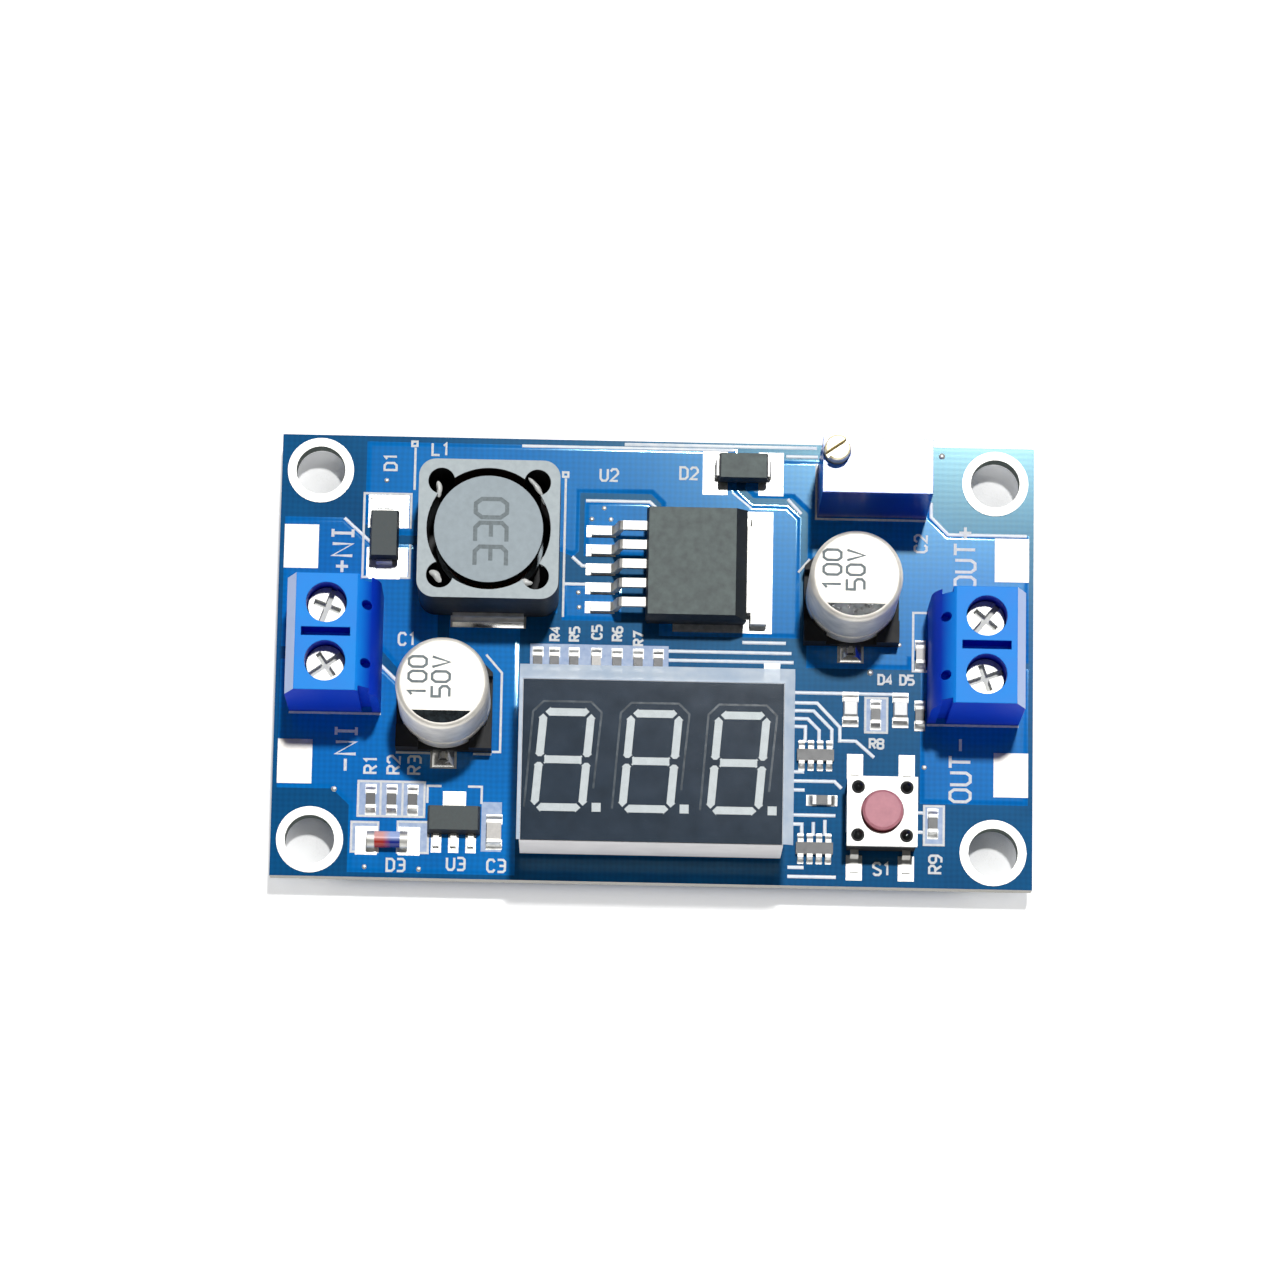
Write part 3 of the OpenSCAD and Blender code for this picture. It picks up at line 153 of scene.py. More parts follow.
def mitred(path, closed):
    # at each corner of a flat path, the sideways step that keeps a parallel line parallel:
    # the two edge normals added, over one plus their product
    ahead = np.roll(path, -1, axis=0) - path
    if not closed:
        ahead[-1] = ahead[-2]
    ahead = ahead / np.linalg.norm(ahead, axis=1, keepdims=True)
    before = np.roll(ahead, 1, axis=0)
    if not closed:
        before[0] = ahead[0]
    left = np.stack([-ahead[:, 1] - before[:, 1], ahead[:, 0] + before[:, 0]], 1)
    return left * (2 / np.maximum((left ** 2).sum(axis=1), mitreLimit))[:, None]


def ridge(path, outline, base):
    # a closed outline of (across, up) carried along a flat path, right side first; it sinks by
    # a hair from corner to corner, so that a line that crosses itself shares no face
    path, outline = np.array(path, float), np.array(outline, float)
    closed = bool(np.allclose(path[0], path[-1]))
    path = path[:-1] if closed else path
    grid = np.empty((len(path), len(outline), 3))
    grid[..., :2] = path[:, None] + outline[None, :, :1] * mitred(path, closed)[:, None]
    grid[..., 2] = base + outline[:, 1] * (1 - lineSlope * np.arange(len(path)))[:, None]
    faces = gridFaces(*grid.shape[:2], wrapRows=closed, wrapColumns=True)
    if not closed:
        count, last = len(outline), grid.shape[0] * len(outline)
        faces += [list(range(count)), list(range(last - 1, last - 1 - count, -1))]
    return grid.reshape(-1, 3), faces


def sheet(corners, steps, base):
    # a flat sheet inside a ring of corners: its edge climbs inwards by steps of (inset, up)
    ring = np.array(corners, float)
    ahead = np.roll(ring, -1, axis=0)
    if (ring[:, 0] * ahead[:, 1] - ring[:, 1] * ahead[:, 0]).sum() < 0:
        ring = ring[::-1]
    steps = np.array(steps, float)
    count, size = len(steps), len(ring) * len(steps)
    grid = np.empty((len(ring), count, 3))
    grid[..., :2] = ring[:, None] + steps[None, :, :1] * mitred(ring, True)[:, None]
    grid[..., 2] = base + steps[:, 1]
    faces = gridFaces(len(ring), count, wrapRows=True)
    faces += [list(range(count - 1, size, count)), list(range(size - count, -1, -count))]
    return grid.reshape(-1, 3), faces


def slab(grid, under):
    # a closed solid between two grids of the same plan, with a wall round both
    rows, columns = grid.shape[:2]
    size = rows * columns
    faces = gridFaces(rows, columns)
    faces += [[k + size for k in face[::-1]] for face in faces]
    number = np.arange(size).reshape(rows, columns)
    rim = np.concatenate([number[:-1, 0], number[-1, :-1], number[:0:-1, -1], number[0, :0:-1]])
    ahead = np.roll(rim, -1)
    faces += np.stack([rim, rim + size, ahead + size, ahead], 1).tolist()
    return np.vstack([grid.reshape(-1, 3), under.reshape(-1, 3)]), faces


def flattened(grid, level):
    under = grid.copy()
    under[..., 2] = level
    return under


def dome(centre, radii, rise, around=12, turn=0.0, wander=0.0):
    # rings of a low dome: height rise * (1 - share squared), where share is radius over rim;
    # the rim is an ellipse turned by so many degrees, and wanders by a two-wave and, at 0.6 of
    # its size, a three-wave
    share = np.array([1.0, 0.8, 0.5, 0.2])
    angle = np.linspace(0, 2 * np.pi, around, endpoint=False)
    loose = 1 + wander * np.sin(2 * angle + turn) + 0.6 * wander * np.sin(3 * angle - turn)
    along, across = radii[0] * np.cos(angle) * loose, radii[1] * np.sin(angle) * loose
    spin = np.radians(turn)
    count = len(share)
    grid = np.empty((around, count, 3))
    grid[..., 0] = centre[0] + (along * np.cos(spin) - across * np.sin(spin))[:, None] * share
    grid[..., 1] = centre[1] + (along * np.sin(spin) + across * np.cos(spin))[:, None] * share
    grid[..., 2] = centre[2] + rise * (1 - share ** 2)
    first = np.arange(around) * count
    faces = gridFaces(around, count, wrapRows=True)
    return grid.reshape(-1, 3), faces + [first[::-1].tolist(), (first + count - 1).tolist()]


def newMaterial(name):
    material = bpy.data.materials.new(name)
    material.use_nodes = True
    tree = material.node_tree
    return material, tree, tree.nodes["Principled BSDF"], addNode(tree, "TexCoord").outputs


def fromTo(low, high):
    return {"From Min": low, "From Max": high}


# what a face's normal has to be: upright parts of it for a level face, for a slope and, at most,
# for a cut edge, and the part that points away from the middle of the board for an outer face, which takes a
# painted sheen
facingLimits = dict(level=(0.45, 0.75), slope=(0.05, 0.15), cut=0.5, outer=(0.3, 0.5))


def plainFinish(name, look):
    # cloudy colour between two tones, uneven roughness and a fine grain in relief; where the
    # look has a colour for its sides, faces that are not level take it, which on most looks is painted
    # shade;
    # where it has an outer sheen colour, the slopes at the board's two ends take that as a painted sheen;
    # where it has a pit, what lies below that level changes colour and is no bare metal
    material, tree, shader, place = newMaterial(name)
    clouds = addNode(tree, "TexNoise", {"Scale": 1 / (look["patch"] * mm), "Detail": 3.0},
                     {"Vector": place["Object"]})
    tones = zip(toneSpan, (look["dark"], look["light"]))
    top = addNode(tree, "ValToRGB", links={"Fac": clouds}, stops=tones)
    # side colour on faces that are not level: painted shade, except on the glazed chip, whose white alumina
    # sides are its own colour
    if "side" in look:
        facing = addNode(tree, "SeparateXYZ", links={0: place["Normal"]})
        flat = addNode(tree, "Math", links={0: facing.outputs["Z"]}, operation="ABSOLUTE")
        level = addNode(tree, "MapRange", fromTo(*facingLimits["level"]), {"Value": flat})
        mixed = addNode(tree, "Mix", {6: colour(look["side"])}, {0: level, 7: top}, data_type="RGBA")
        top = mixed.outputs[2]
    # outer sheen: a pale colour painted on the end slopes as sheen
    if "outer" in look:
        spot = addNode(tree, "SeparateXYZ", links={0: place["Object"]})
        facing = addNode(tree, "SeparateXYZ", links={0: place["Normal"]})
        hand = addNode(tree, "Math", links={0: spot.outputs["X"]}, operation="SIGN")
        away = addNode(tree, "Math", links={0: facing.outputs["X"], 1: hand}, operation="MULTIPLY")
        out = addNode(tree, "MapRange", fromTo(*facingLimits["outer"]), {"Value": away})
        slope = addNode(tree, "MapRange", fromTo(*facingLimits["slope"]), {"Value": facing.outputs["Z"]})
        both = addNode(tree, "Math", links={0: out, 1: slope}, operation="MULTIPLY")
        mixed = addNode(tree, "Mix", {7: colour(look["outer"])}, {0: both, 6: top}, data_type="RGBA")
        top = mixed.outputs[2]
    if "pit" in look:
        brim, depth, code = look["pit"]
        spot = addNode(tree, "SeparateXYZ", links={0: place["Object"]})
        fade = fromTo((brim - depth) * mm, brim * mm)
        above = addNode(tree, "MapRange", fade, {"Value": spot.outputs["Z"]})
        mixed = addNode(tree, "Mix", {6: colour(code)}, {0: above, 7: top}, data_type="RGBA")
        top = mixed.outputs[2]
        feed(tree, shader, {"Metallic": above})
    grain = addNode(tree, "TexNoise", {"Scale": 1 / (look["grit"] * mm), "Detail": 2.0},
                    {"Vector": place["Object"]})
    least, most = look["rough"]
    rough = addNode(tree, "MapRange", {"To Min": least, "To Max": most}, {"Value": clouds})
    relief = addNode(tree, "Bump", {"Distance": look["depth"] * mm}, {"Height": grain})
    if "edge" in look:
        softened = addNode(tree, "Bevel", {"Radius": look["edge"] * mm}, samples=4)
        feed(tree, relief, {"Normal": softened})
    feed(tree, shader, {"Base Color": top, "Roughness": rough, "Normal": relief})
    shader.inputs["Metallic"].default_value = look.get("metal", 0.0)
    if "ior" in look:
        shader.inputs["IOR"].default_value = look["ior"]
    return material


# Plain finishes: two tones, the size of their patches in mm, the range of roughness, and a
# grain's size and depth in mm, coarser than the real grain so that a close view shows it
slotBrim = nodeBox("in_plus_screw")[1][2] - 0.12  # mm, a little below the screw heads' tops
looks = dict(
    # Tin plate, hot-dipped: bright, a little cloudy, soft reflections
    tinPlate=dict(light="#EDECE7", dark="#D3D1CA", patch=0.9, rough=(0.5, 0.66), grit=0.12, depth=0.004,
        metal=1.0),
    # Tin plate on the wire pads: bare and handled, so it is a little mottled and duller
    handledTin=dict(light="#F4F2ED", dark="#DBD6CC", patch=0.8, rough=(0.52, 0.7), grit=0.15, depth=0.006,
        metal=1.0),
    # Tinned hole plating: bright on its rings; the dark grey-green down the bore is painted shade
    platedHole=dict(light="#F2F2EE", dark="#DEDED8", side="#4E5A54", patch=0.9, rough=(0.5, 0.62),
        grit=0.15, depth=0.004, metal=1.0),
    # Reflowed solder: smoother than tin
    solderAlloy=dict(light="#EFEFEC", dark="#D2D3CF", patch=0.5, rough=(0.42, 0.56), grit=0.2, depth=0.006,
        metal=1.0),
    # Solder freshly reflowed round the big leads: mirror-bright
    brightSolder=dict(light="#F4F3EE", dark="#DFDCD4", patch=0.5, rough=(0.14, 0.24), grit=0.2, depth=0.004,
        metal=1.0),
    # Polyamide, moulded: clear blue with a satin skin and soft edges; its darker sides are painted shade and
    # its pale end slopes a painted sheen
    bluePolyamide=dict(light="#0099FF", dark="#008FF8", side="#003ED8", outer="#BCD2FF", patch=3.0,
        rough=(0.42, 0.54), grit=0.15, depth=0.003, ior=1.3, edge=0.1),
    # Polyester moulding of the trimmer: the same blue, glossier; its navy sides are painted shade
    bluePolyester=dict(light="#2F74E4", dark="#2566D6", side="#0A2C9C", patch=2.0, rough=(0.2, 0.26),
        grit=0.2, depth=0.002, ior=1.58, edge=0.1),
    # Zinc-plated steel: bright, with fine turning marks, and a pale, dull grey that is no bare metal in the
    # bottom of the slots
    zincSteel=dict(light="#F0F0EB", dark="#CFCFC8", patch=0.35, rough=(0.46, 0.6), grit=0.08, depth=0.006,
        metal=1.0, edge=0.06, pit=(slotBrim, 0.3, "#D9DAD4")),
    # Stamped steel cover: bright and even
    stampedSteel=dict(light="#F1F1EE", dark="#DEDED8", patch=1.2, rough=(0.5, 0.6), grit=0.1, depth=0.003,
        metal=1.0, edge=0.06),
    # Ferrite, near black: its pale grey top is a painted highlight of the lamp's glare; its sides keep the
    # ferrite's near black
    glarePaintedFerrite=dict(light="#A5B3BA", dark="#96A4AB", side="#0D0F11", patch=0.6, rough=(0.5, 0.62),
        grit=0.09, depth=0.005, ior=1.6, edge=0.05),
    # The shield's rim: the same ferrite, with a paler painted highlight on its top
    glarePaintedRimFerrite=dict(light="#BFCACD", dark="#AEBABE", side="#0D0F11", patch=0.6, rough=(0.5, 0.62),
        grit=0.09, depth=0.005, ior=1.6, edge=0.05),
    # Enamelled copper wire: warm brown, glossy
    enamelledCopper=dict(light="#B56A3C", dark="#8C4A26", patch=0.5, rough=(0.2, 0.35), grit=0.3,
        depth=0.003, metal=0.6),
    # Phenolic, moulded: dull black
    blackPhenolic=dict(light="#141517", dark="#0C0D0E", patch=1.5, rough=(0.55, 0.7), grit=0.1, depth=0.005,
        ior=1.45, edge=0.05),
    # Transfer-moulded epoxy: grey on top from the mould's spark-eroded skin; the near black at its sides is
    # painted shade
    greyEpoxy=dict(light="#65726F", dark="#45504F", side="#060707", patch=0.7, rough=(0.52, 0.66),
        grit=0.08, depth=0.01, ior=1.55, edge=0.05),
    # The same epoxy on the small parts, darker on top; the near black at its sides is painted shade
    smallEpoxy=dict(light="#3E4A4A", dark="#313B3B", side="#0A0B0C", patch=0.4, rough=(0.5, 0.64),
        grit=0.07, depth=0.008, ior=1.55, edge=0.05),
    # Drawn aluminium: bright, with a fine grain
    drawnAluminium=dict(light="#FCF8F0", dark="#E8E4DC", patch=1.2, rough=(0.56, 0.66), grit=0.1,
        depth=0.003, metal=1.0),
    # Brass, turned: gold painted pale, near white, as a highlight of the lamp's glare
    turnedBrass=dict(light="#FAF2DA", dark="#E8DBB2", patch=0.5, rough=(0.42, 0.54), grit=0.08, depth=0.004,
        metal=1.0, edge=0.06),
    # ABS, moulded: pale grey, satin
    greyAbs=dict(light="#F5F4F6", dark="#EAE9EB", patch=2.5, rough=(0.42, 0.54), grit=0.12, depth=0.003,
        ior=1.52, edge=0.08),
    # Polyester film with a printed back: slate grey, glossy
    slateFilm=dict(light="#1D3144", dark="#172939", patch=2.0, rough=(0.08, 0.12), grit=0.1, depth=0.003,
        ior=1.44),
    # Cast epoxy with diffuser: milky
    milkyEpoxy=dict(light="#CED7D9", dark="#BBC5C7", patch=0.8, rough=(0.35, 0.48), grit=0.1, depth=0.003,
        ior=1.5),
    # ABS button: dusty pink on top; the deep red at its side is painted shade
    pinkAbs=dict(light="#D68F9B", dark="#C67D8A", side="#86303C", patch=0.7, rough=(0.45, 0.58), grit=0.1,
        depth=0.008, ior=1.5, edge=0.12),
    # Barium titanate: stone colour, fired
    firedCeramic=dict(light="#B9B4AC", dark="#9D978E", patch=0.4, rough=(0.4, 0.55), grit=0.06, depth=0.004,
        ior=2.0),
    # Glass-glazed chip: black on top, white alumina at its sides
    glazedChip=dict(light="#26282A", dark="#191B1D", side="#C9C8C2", patch=0.4, rough=(0.3, 0.42),
        grit=0.06, depth=0.003, ior=1.5),
    # Alumina: white, fired
    whiteAlumina=dict(light="#F1F2EF", dark="#E2E3DF", patch=0.5, rough=(0.4, 0.55), grit=0.06, depth=0.003,
        ior=1.6),
    # Epoxy marking ink: chalky white on the board
    whiteInk=dict(light="#F3F4F2", dark="#DCDFE2", patch=0.3, rough=(0.5, 0.7), grit=0.05, depth=0.004,
        ior=1.5),
    # Epoxy marking ink on the cans: black and glossy
    blackInk=dict(light="#273035", dark="#13181B", patch=0.5, rough=(0.06, 0.1), grit=0.06, depth=0.003,
        ior=1.5),
    # Epoxy marking ink for values: grey and dull
    greyInk=dict(light="#808C90", dark="#646F73", patch=0.3, rough=(0.5, 0.65), grit=0.05, depth=0.003,
        ior=1.5),
    # Silicone over a blue LED die: clear white
    whiteSilicone=dict(light="#FDFDFA", dark="#F1F2EE", patch=0.5, rough=(0.3, 0.42), grit=0.1, depth=0.003,
        ior=1.42),
    # Thinly printed ink: blue shows through it
    thinInk=dict(light="#B6C8E4", dark="#8FA9D2", patch=0.5, rough=(0.4, 0.55), grit=0.06, depth=0.004,
        ior=1.5),
    # The dark face's moulded lines: a shade lighter than the film over them
    faintLine=dict(light="#46545E", dark="#2C3842", patch=0.8, rough=(0.1, 0.16), grit=0.1, depth=0.003,
        ior=1.5),
    # Silicone glue: white, wet-looking beads
    whiteGlue=dict(light="#F2F3F1", dark="#D4D7D4", patch=0.4, rough=(0.15, 0.3), grit=0.2, depth=0.004,
        ior=1.42),
    # Tracks, pour edges and a strip at the back edge: thin mask over tinned copper shows lighter, and the
    # near white is a painted highlight of the lamp
    highlightPaintedMask=dict(light="#F6FAFE", dark="#DAE6F4", patch=0.8, rough=(0.3, 0.45), grit=0.2, depth=0.003,
        ior=1.55),
    # Nylon studs, melted over: black and glossy
    glossyNylon=dict(light="#1A1C1D", dark="#0B0C0D", patch=0.4, rough=(0.07, 0.12), grit=0.2, depth=0.004,
        ior=1.53),
)
finish = {name: plainFinish(name, look) for name, look in looks.items()}


def glassFinish(name):
    # Soda glass round a die: red at the die's left end, and at the right a painted view of the blue board
    # through it; paler along the back and deeper along the front, as painted light and shade from the lamp
    # behind
    low, high = nodeBox("glass_diode_tube")
    x, y = ((low + high) / 2)[:2]
    look = dict(litPainted=("#F3B4AC", "#AFC2F0"), shadePainted=("#B02A22", "#12288C"), middle=x + 0.1, blur=0.35,
                streak=0.25, front=y - 0.3, back=y + 0.15, rough=0.25, ior=1.5)
    material, tree, shader, place = newMaterial(name)
    spot = addNode(tree, "SeparateXYZ", links={0: place["Object"]})
    streaks = addNode(tree, "TexNoise", {"Scale": 1 / (look["streak"] * mm), "Detail": 2.0},
                      {"Vector": place["Object"]})
    wander = addNode(tree, "Math", {1: look["streak"] * mm}, {0: streaks, 2: spot.outputs["X"]},
                     operation="MULTIPLY_ADD")
    ends = fromTo((look["middle"] - look["blur"]) * mm, (look["middle"] + look["blur"]) * mm)
    along = addNode(tree, "MapRange", ends, {"Value": wander})
    across = addNode(tree, "MapRange", fromTo(look["front"] * mm, look["back"] * mm),
                     {"Value": spot.outputs["Y"]})
    litPainted, shadePainted = (addNode(tree, "ValToRGB", links={"Fac": along}, stops=zip((0.0, 1.0), look[tone]))
                  for tone in ("litPainted", "shadePainted"))
    mixed = addNode(tree, "Mix", links={0: across, 6: shadePainted, 7: litPainted}, data_type="RGBA")
    feed(tree, shader, {"Base Color": mixed.outputs[2]})
    shader.inputs["Roughness"].default_value = look["rough"]
    shader.inputs["IOR"].default_value = look["ior"]
    return material


# The weave is drawn at 0.5 mm, coarser than the real cloth, so that it shows
mask = dict(weave=0.5, shade=(0.9, 1.1), depth=0.0001, rough=0.1, sheen="#CCFFFF", ply=0.2,
            cut=("#B4AEA6", "#DAD6D0"), cutRough=0.7)
oneWave = 2 * np.pi / 20  # the scale at which a wave texture repeats once in a metre


def maskFinish(name, light, dark, patch, ior, cutEdges=False):
    # Epoxy solder mask, glossy: cloudy blue with the glass weave faintly showing through it
    material, tree, shader, place = newMaterial(name)
    clouds = addNode(tree, "TexNoise", {"Scale": 1 / (patch * mm), "Detail": 3.0},
                     {"Vector": place["Object"]})
    tone = addNode(tree, "ValToRGB", links={"Fac": clouds}, stops=zip(toneSpan, (dark, light)))
    threads = {"Scale": oneWave / (mask["weave"] * mm), "Distortion": 1.5, "Detail": 2.0}
    warp, weft = (addNode(tree, "TexWave", threads, {"Vector": place["Object"]}, wave_type="BANDS",
                          bands_direction=way).outputs["Fac"] for way in "XY")
    cloth = addNode(tree, "Math", links={0: warp, 1: weft}, operation="ADD")
    dim, bright = mask["shade"]
    shade = addNode(tree, "MapRange", {"From Max": 2.0, "To Min": dim, "To Max": bright}, {"Value": cloth})
    woven = addNode(tree, "Mix", {0: 1.0}, {6: tone, 7: shade}, data_type="RGBA", blend_type="MULTIPLY")
    skin = woven.outputs[2]
    shader.inputs["Roughness"].default_value = mask["rough"]
    if cutEdges:
        # the board's cut edges: pale glass plies
        facing = addNode(tree, "SeparateXYZ", links={0: place["Normal"]})
        flat = addNode(tree, "Math", links={0: facing.outputs["Z"]}, operation="ABSOLUTE")
        step = addNode(tree, "Math", {1: facingLimits["cut"]}, {0: flat}, operation="GREATER_THAN")
        layers = {"Scale": oneWave / (mask["ply"] * mm), "Distortion": 2.0, "Detail": 2.0}
        plies = addNode(tree, "TexWave", layers, {"Vector": place["Object"]}, wave_type="BANDS",
                        bands_direction="Z")
        cut = addNode(tree, "ValToRGB", links={"Fac": plies.outputs["Fac"]},
                      stops=zip((0.0, 1.0), mask["cut"]))
        mixed = addNode(tree, "Mix", links={0: step, 6: cut, 7: skin}, data_type="RGBA")
        skin = mixed.outputs[2]
        gloss = addNode(tree, "MapRange", {"To Min": mask["cutRough"], "To Max": mask["rough"]},
                        {"Value": step})
        feed(tree, shader, {"Roughness": gloss})
    relief = addNode(tree, "Bump", {"Distance": mask["depth"] * mm}, {"Height": cloth})
    feed(tree, shader, {"Base Color": skin, "Normal": relief})
    shader.inputs["IOR"].default_value = ior
    shader.inputs["Specular Tint"].default_value = colour(mask["sheen"])
    return material


def filmFinish(name):
    # Polyester film: clear where it lies on the face; the cloudy white where it overhangs is painted sheen
    look = dict(light="#E4EFFA", dark="#CBDDF0", patch=1.5, clear=0.01, paintedHaze=0.7, blur=0.12, rough=0.3,
                ior=1.57)
    material, tree, shader, place = newMaterial(name)
    clouds = addNode(tree, "TexNoise", {"Scale": 1 / (look["patch"] * mm), "Detail": 3.0},
                     {"Vector": place["Object"]})
    tones = zip(toneSpan, (look["dark"], look["light"]))
    tone = addNode(tree, "ValToRGB", links={"Fac": clouds}, stops=tones)
    low, high = nodeBox("display_face")
    middle, side = (low + high) / 2 * mm, (high - low) / 2 * mm
    offset = addNode(tree, "VectorMath", {1: tuple(middle)}, {0: place["Object"]}, operation="SUBTRACT")
    size = addNode(tree, "VectorMath", links={0: offset}, operation="ABSOLUTE")
    past = addNode(tree, "VectorMath", {1: tuple(side)}, {0: size}, operation="SUBTRACT")
    spot = addNode(tree, "SeparateXYZ", links={0: past})
    most = addNode(tree, "Math", links={0: spot.outputs["X"], 1: spot.outputs["Y"]}, operation="MAXIMUM")
    fade = dict(fromTo(0.0, look["blur"] * mm), **{"To Min": look["clear"], "To Max": look["paintedHaze"]})
    veil = addNode(tree, "MapRange", fade, {"Value": most})
    feed(tree, shader, {"Base Color": tone, "Alpha": veil})
    shader.inputs["Roughness"].default_value = look["rough"]
    shader.inputs["IOR"].default_value = look["ior"]
    return material


finish["amberGlass"] = glassFinish("amberGlass")
finish["bareMask"] = maskFinish("bareMask", "#085A92", "#065086", 4.0, 1.5, cutEdges=True)
finish["copperMask"] = maskFinish("copperMask", "#047ACE", "#0370C2", 5.0, 1.55)  # lighter over copper
finish["sheenPaintedFilm"] = filmFinish("sheenPaintedFilm")

# which solids wear which finish
worn = dict(
    bareMask="circuit_board",
    platedHole="mounting_rings",
    handledTin="wire_pads",
    tinPlate="solder_pads in_terminal_contacts out_terminal_contacts inductor_clips regulator_tab"
             " regulator_leads input_diode_leads output_diode_leads trimmer_pins input_capacitor_leads"
             " output_capacitor_leads display_pins meter_controller_leads switch_leads"
             " small_regulator_leads glass_diode_ends chip_ends",
    solderAlloy="solder_joints",
    bluePolyamide="in_terminal_housing out_terminal_housing",
    bluePolyester="trimmer_body",
    zincSteel="in_plus_screw in_minus_screw out_plus_screw out_minus_screw in_plus_wire_guard"
              " in_minus_wire_guard out_plus_wire_guard out_minus_wire_guard",
    stampedSteel="switch_cover switch_dome",
    glarePaintedFerrite="inductor_core",
    glarePaintedRimFerrite="inductor_shield",
    enamelledCopper="inductor_winding",
    blackPhenolic="inductor_base input_capacitor_base output_capacitor_base switch_base"
                  " meter_controller_body",
    greyEpoxy="regulator_body output_diode_body",
    smallEpoxy="small_regulator_body input_diode_body",
    drawnAluminium="input_capacitor_can output_capacitor_can",
    turnedBrass="trimmer_screw",
    greyAbs="display_case",
    slateFilm="display_face",
    milkyEpoxy="display_segments display_resin",
    whiteSilicone="indicator_led_lenses",
    pinkAbs="switch_button",
    amberGlass="glass_diode_tube",
    glazedChip="chip_resistor_bodies",
    firedCeramic="chip_capacitor_bodies",
    whiteAlumina="indicator_led_bodies",
)
for look, names in worn.items():
    for name in names.split():
        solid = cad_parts[name]
        if not solid.material_slots:
            solid.data.materials.append(finish[look])
        for materialSlot in solid.material_slots:
            materialSlot.material = finish[look]
print("finishes on")

boardTop = nodeBox("circuit_board")[1][2]
seat = nodeBox("solder_pads")[1][2]

# Copper under the mask: sheets with gently rolled edges, and ridges for the tracks. Edges that
# fall towards the back and right catch the lamp, and near-white ridges along some of them are painted
# highlights.
copper = dict(rise=0.045, slope=0.42, lip=1.15, trackWidth=0.3, crown=2 ** 0.5, crownSteps=7)
pours = dict(
    inPlus=[(-32.6, 12.2), (-27.4, 12.2), (-24.9, 9.9), (-19, 9.9), (-19, -1.4), (-22.2, -1.4),
            (-24.0, 0.6), (-32.6, 0.6)],
    inMinus=[(-32.6, -0.5), (-24.3, -0.5), (-22.3, -2.4), (-18, -2.4), (-18, 3.2), (-11.8, 3.2),
             (-11.8, -19.2), (-26.3, -19.2), (-26.3, -13.3), (-27.8, -11.9), (-32.6, -11.9)],
    supply=[(-25.6, 19.1), (-25.6, 11.7), (-24.4, 10.7), (-18.6, 10.7), (-18.6, 4.0), (-8.6, 4.0),
            (-8.6, 9.6), (-7.3, 9.1), (-6.8, 9.6), (-6.8, 14.85), (-0.6, 14.85), (0.3, 14.0), (0.3, 2.2),
            (12.6, 2.2), (12.6, 13.0), (11.4, 14.1), (8.3, 14.1), (6.9, 15.4), (6.9, 19.05)],
    loop=[(-6.4, 14.2), (-0.7, 14.2), (-0.1, 13.6), (-0.1, 9.2), (-6.4, 9.2)],
    fourth=[(-8.2, 6.75), (-3, 6.75), (-3, 3.4), (-8.2, 3.4)],
    outPlus=[(7.7, 18.2), (24.0, 18.2), (24.0, 13.3), (25.5, 11.8), (32.6, 11.8), (32.6, 0.4), (22.4, 0.4),
             (22.4, -0.4), (13.2, -0.4), (13.2, 13.4), (11.8, 14.7), (8.4, 14.7), (7.7, 15.4)],
    outMinus=[(23.2, -0.1), (32.6, -0.1), (32.6, -12.2), (23.2, -12.2)],
)
groundBelow = [
    (-32.4, -12), (-26, -12), (-26, -19), (26, -19), (26, -12), (32.4, -12), (32.4, 12), (26, 12), (26, 19),
    (-26, 19), (-26, 12), (-32.4, 12),
]


def below(part):
    # the same shape on the underside: heights above the board's top become depths under it
    points, faces = part
    return points * (1, 1, -1) + (0, 0, boardTop), [face[::-1] for face in faces]


# the rolled edge climbs as sine squared, then a lip runs level
rolled = [(copper["slope"] * share, copper["rise"] * np.sin(share * np.pi / 2) ** 2)
          for share in (0, 0.2, 0.4, 0.6, 0.8, 1)] + [(copper["slope"] * copper["lip"], copper["rise"])]
copperSheets = [sheet(corners, rolled, boardTop) for corners in pours.values()]
copperSheets.append(below(sheet(groundBelow, rolled, boardTop)))
makePiece("copper_pours", copperSheets, "copperMask", smooth=True)

tracks = [
    [(7.6, 1.75), (11.4, 1.75)], [(0.8, 0.85), (11.9, 0.85)], [(1.2, 0.05), (12.1, 0.05)],
    [(11.8, -2.6), (22.0, -2.6)], [(11.2, 18.5), (14.0, 18.5)],
    [(11.8, -3.5), (14.2, -3.5), (16.2, -5.6), (16.2, -6.8), (17.6, -6.8), (19.2, -8.2)],
    [(11.8, -4.2), (13.9, -4.2), (15.5, -5.8), (15.5, -7.4)],
    [(11.8, -4.9), (13.4, -4.9), (14.4, -5.9), (14.4, -7.0)], [(11.8, -5.6), (13.2, -5.6), (13.2, -7.0)],
    [(11.8, -9.6), (13.0, -9.6), (13.0, -9.2)], [(11.8, -10.4), (15.8, -10.4), (16.4, -11.0)],
    [(11.8, -11.2), (13.2, -11.2)], [(11.8, -13.4), (15.9, -13.4)],
    [(11.8, -14.2), (13.0, -14.2), (13.0, -15.2)], [(14.0, -14.0), (14.0, -15.2)],
    [(15.0, -13.8), (15.0, -15.2)], [(11.8, -18.0), (13.2, -18.0)], [(11.8, -18.8), (16.0, -18.8)],
    [(22.9, -13.0), (24.2, -13.0)], [(22.9, -14.7), (24.2, -14.7)],
]
